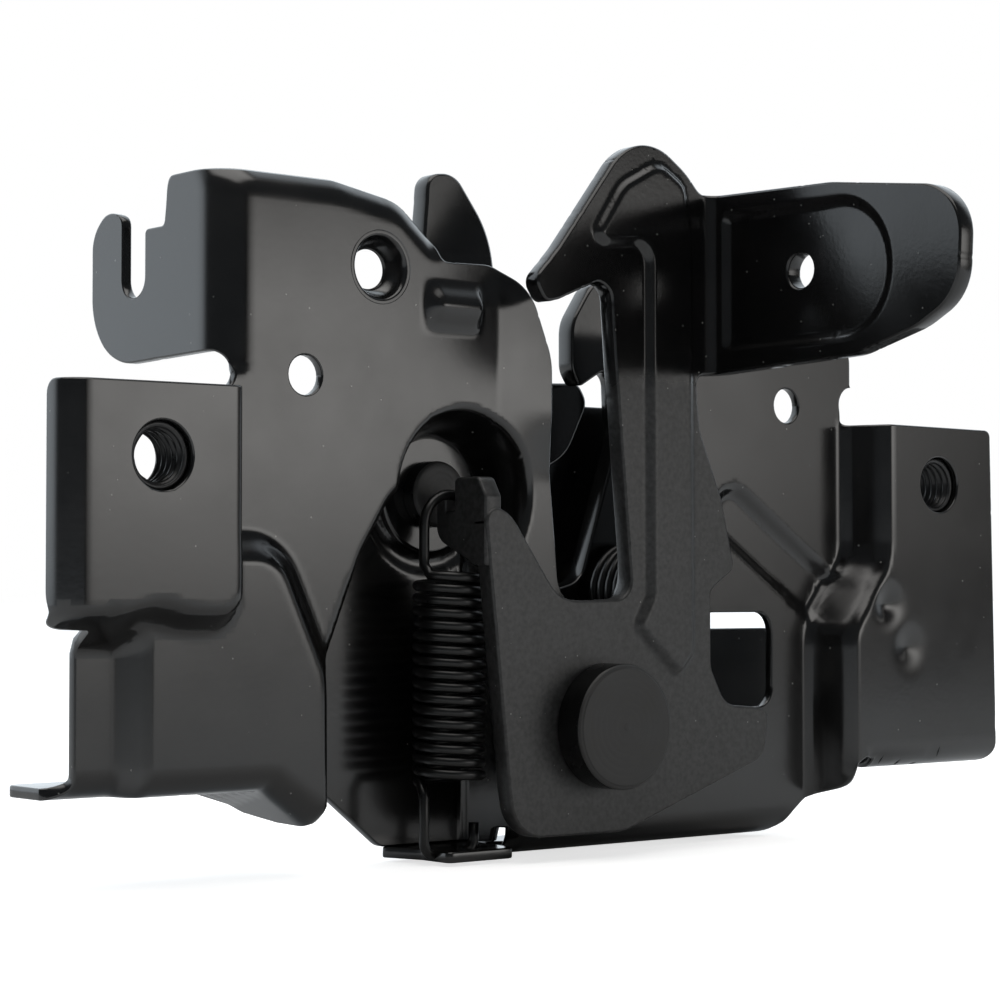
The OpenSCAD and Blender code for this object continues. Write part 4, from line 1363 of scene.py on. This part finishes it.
@dataclass(frozen=True)
class FlatPart(Piece):
    """Stamped flat part behind the panel, sizes in millimetres.

    Attributes:
        front: Y of its front face.
        corners: Outline as (x, z, radius).
        holes: Round holes as (x, z, radius).
        edge: Radius of its cut edges.
    """

    node: str
    slot: Slot
    front: float
    thickness: float
    corners: tuple[Triple, ...]
    holes: tuple[Triple, ...]
    edge: float = 0.4
    body: str = "base"

    made: ClassVar[str] = "stamped"

    def shape(self) -> Shape:
        """Makes the flat part."""
        return Blank(self.thickness, 2.5, self.edge).make(
            list(self.corners), [circle(*hole) for hole in self.holes],
            lambda u, v: np.stack([u, np.full(u.shape, self.front), v], axis=1))


FLAT_PARTS = (
    FlatPart("main_hook", Slot.PHOSPHATE, 17.4, 3.5, (
        (30, -24, 5), (32, 2, 8), (29, 24, 8), (22, 31.6, 4), (16, 31.6, 5), (11.2, 24.5, 6), (11.2, 17, 4),
        (13, 14.4, 0.8), (20, 18.4, 2), (20.6, 6, 4), (13, -16, 4), (-2, -20, 1.5), (-2, -25, 2),
        (13, -27, 5)),
        ((*CLAW_AT, TURNING_R),), body="hook"),
    FlatPart("pawl", Slot.PHOSPHATE, 17.4, 3.5, (
        (-28.2, -6.4, 6), (-25.6, -12.4, 6), (-11.6, -14.4, 3), (-10.6, -5.4, 5), (-10.2, 12, 6),
        (-3.6, 24, 6), (-5.6, 37, 16), (-12.4, 45.6, 4), (-17.6, 45, 2.6), (-18.8, 30, 8)),
        ((*PAWL_AT, TURNING_R), CABLE_EYE), body="release_pawl"),
    FlatPart("lifter", Slot.BLACK_COAT, 21.7, 2.5, (
        (-27, -6.4, 5), (-21.6, -11.8, 6), (-11.6, -9.4, 6), (14, 4, 8), (18.4, 12.4, 2.6), (16.4, 15.4, 2),
        (7, 15, 8), (-15.6, 4.6, 8), (-25.6, 2.6, 5)),
        ((*PAWL_AT, TURNING_R),), body="striker_lifter"),
    FlatPart("cover_plate", Slot.BLACK_COAT, 24.4, 1.6, (
        (-34, -14, 6), (-22, -26, 6), (4, -33, 6), (24, -46, 6), (36, -50.5, 4), (48, -50.5, 4), (64, -40, 4),
        (64, -24, 3), (38, -24, 3), (37, 2, 4), (32, 12, 4), (10.6, 12, 1.5), (10.6, -24, 5), (-8, -24, 5),
        (-8, 12, 3), (-30, 12, 8), (-34, 6, 6)),
        ((*PAWL_AT, HELD_R), (*CLAW_AT, HELD_R)), 0.3),
    FlatPart("striker_buffer", Slot.RUBBER, 8.0, 6.0, (
        (-2.5, -25, 1), (10.5, -25, 1), (10.5, -20.3, 1), (-2.5, -20.3, 1)), (), 0.8),
)


@dataclass(frozen=True)
class Card:
    """A softbox, sizes in metres.

    Attributes:
        at: Its middle.
        strength: Its brightness, 1 being paper white.
        soft: Share of its half width and half height over which it fades out.
        colour: Its tint, sRGB hex.
    """

    name: str
    at: Triple
    width: float
    height: float
    strength: float
    soft: float = 0.5
    colour: str = "#fffdfa"

    def material(self) -> Material:
        """Makes the glow, which fades towards the four sides.

        Returns:
            An emissive material on the UV layer.
        """
        material = bpy.data.materials.new(self.name)
        tree = fresh_tree(material)
        across = add_node(tree, "SeparateXYZ", {0: add_node(tree, "TexCoord").outputs["UV"]})
        level = self.strength
        for axis in ("X", "Y"):
            side = maths(tree, "ABSOLUTE", maths(tree, "MULTIPLY_ADD", across.outputs[axis], 2.0, -1.0))
            level = maths(tree, "MULTIPLY", remap(tree, side, (1.0, 1 - self.soft), smooth=True), level)
        glow = add_node(tree, "Emission", {"Color": linear(self.colour), "Strength": level})
        add_node(tree, "OutputMaterial", {"Surface": glow.outputs[0]})
        return material

    def build(self) -> None:
        """Adds the softbox, which faces the latch and isn't seen itself."""
        shape = bmesh.new()
        shape.loops.layers.uv.new("across")
        place = Matrix.Translation(self.at) @ (-Vector(self.at)).to_track_quat("Z", "Y").to_matrix().to_4x4()
        bmesh.ops.create_grid(shape, x_segments=1, y_segments=1, size=0.5, calc_uvs=True,
                              matrix=place @ Matrix.Diagonal((self.width, self.height, 1, 1)))
        card = add_object(self.name, shape, self.material())
        card.visible_camera = False
        card.visible_shadow = False


@dataclass
class Studio:
    """White studio with the camera at the photograph's angle, sizes in metres.

    Attributes:
        eye: Place of the camera.
        view: Direction in which it looks.
        back: Direction of the bright surround behind the latch.
        dark_level: Brightness of the room in front of the latch.
        back_level: Brightness of the surround behind it.
        tint: Colour of the surround's light, sRGB hex.
        floor_gap: Distance of the floor below the latch.
        floor_white: Brightness that the camera sees on top of the floor's own.
    """

    eye: Triple = (-0.2587, -0.2877, -0.0173)
    view: Triple = (0.6410, 0.7666, 0.0340)
    lens_mm: float = 93.6
    sensor_mm: float = 36.0
    back: Triple = (0.35, 0.93, 0.1)
    dark_level: float = 0.1
    back_level: float = 1.45
    tint: str = "#eff8ff"
    floor_gap: float = 0.0005
    floor_size: float = 6.0
    floor_colour: str = "#e2e2e2"
    floor_white: float = 0.7
    cards: tuple[Card, ...] = (
        Card("front_softbox", (0.317, -0.572, 0.065), 0.86, 0.31, 2.55, 1.0),
        Card("side_softbox", (0.8, -0.52, 0.15), 0.4, 0.36, 2.0, 0.9),
        Card("top_softbox", (-0.1, -0.05, 0.75), 1.2, 1.0, 2.0),
    )

    def add_camera(self) -> None:
        """Adds the camera and makes it the scene's own."""
        data = bpy.data.cameras.new("camera")
        data.lens = self.lens_mm
        data.sensor_width = self.sensor_mm
        data.clip_start = 0.01
        camera = bpy.data.objects.new("camera", data)
        camera.location = self.eye
        camera.rotation_euler = Vector(self.view).to_track_quat("-Z", "Y").to_euler()
        bpy.context.scene.collection.objects.link(camera)
        bpy.context.scene.camera = camera

    def add_world(self) -> None:
        """Makes the surround: white to the eye, and as light a bright back with a dark room in front."""
        world = bpy.data.worlds.new("white_studio")
        bpy.context.scene.world = world
        tree = fresh_tree(world)
        seen = add_node(tree, "LightPath").outputs["Is Camera Ray"]
        way = add_node(tree, "TexCoord").outputs["Generated"]
        behind = add_node(tree, "VectorMath", {0: way, 1: self.back}, operation="DOT_PRODUCT")
        levels = (self.dark_level, self.back_level)
        level = remap(tree, behind.outputs["Value"], (0.0, 0.45), levels, smooth=True)
        light = add_node(tree, "Background", {
            "Color": mixed(tree, seen, linear(self.tint), linear("#ffffff")),
            "Strength": mixed_value(tree, seen, level, 1.0)})
        add_node(tree, "OutputWorld", {"Surface": light.outputs[0]})

    def floor_material(self) -> Material:
        """Makes the floor's matt surface, with some white added for the eye.

        Returns:
            The material.
        """
        material = bpy.data.materials.new("pale_studio_floor")
        tree = fresh_tree(material)
        matt = add_node(tree, "BsdfDiffuse", {"Color": linear(self.floor_colour)})
        seen = add_node(tree, "LightPath").outputs["Is Camera Ray"]
        white = add_node(tree, "Emission", {"Color": linear("#ffffff"),
                                            "Strength": maths(tree, "MULTIPLY", seen, self.floor_white)})
        both = add_node(tree, "AddShader", {0: matt.outputs[0], 1: white.outputs[0]})
        add_node(tree, "OutputMaterial", {"Surface": both.outputs[0]})
        return material

    def add_floor(self) -> None:
        """Adds the pale floor under the latch."""
        shape = bmesh.new()
        bmesh.ops.create_grid(shape, x_segments=1, y_segments=1, size=self.floor_size)
        bmesh.ops.translate(shape, verts=shape.verts, vec=(0, 0, CAD_BOX[0][2] - self.floor_gap))
        add_object("studio_floor", shape, self.floor_material())

    def build(self) -> None:
        """Sets up the camera, the surround, the floor and the softboxes."""
        bpy.context.scene.view_settings.view_transform = "Standard"
        self.add_camera()
        self.add_world()
        self.add_floor()
        for card in self.cards:
            card.build()


def dress_nodes(materials: dict[Slot, Material]) -> None:
    """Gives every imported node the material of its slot.

    Args:
        materials: Material of each slot.
    """
    for row in frame["record"]["subparts"]:
        node = frame["nodes"][row["node"]]
        node.data.materials.clear()
        node.data.materials.append(materials[Slot(row["material_slot"])])
        log.info("dressed %s", row["node"])


def main() -> None:
    """Builds and dresses the latch in order."""
    logging.basicConfig(level=logging.INFO, format="%(name)s %(message)s")
    materials = {slot: finish.material() for slot, finish in FINISH_OF.items()}
    dress_nodes(materials)
    BasePlate().build(materials[Slot.BLACK_COAT])
    SafetyHook().build(HOOK_COAT.material())
    SafetySpring().build(materials[Slot.WIRE])
    nuts = (WeldNut("weld_nut_left", -BOLT_X), WeldNut("weld_nut_right", BOLT_X))
    for piece in TORSION_SPRINGS + TURNED_PARTS + FLAT_PARTS + nuts:
        piece.build(materials[piece.slot])
    Studio().build()


if __name__ == "__main__":
    main()
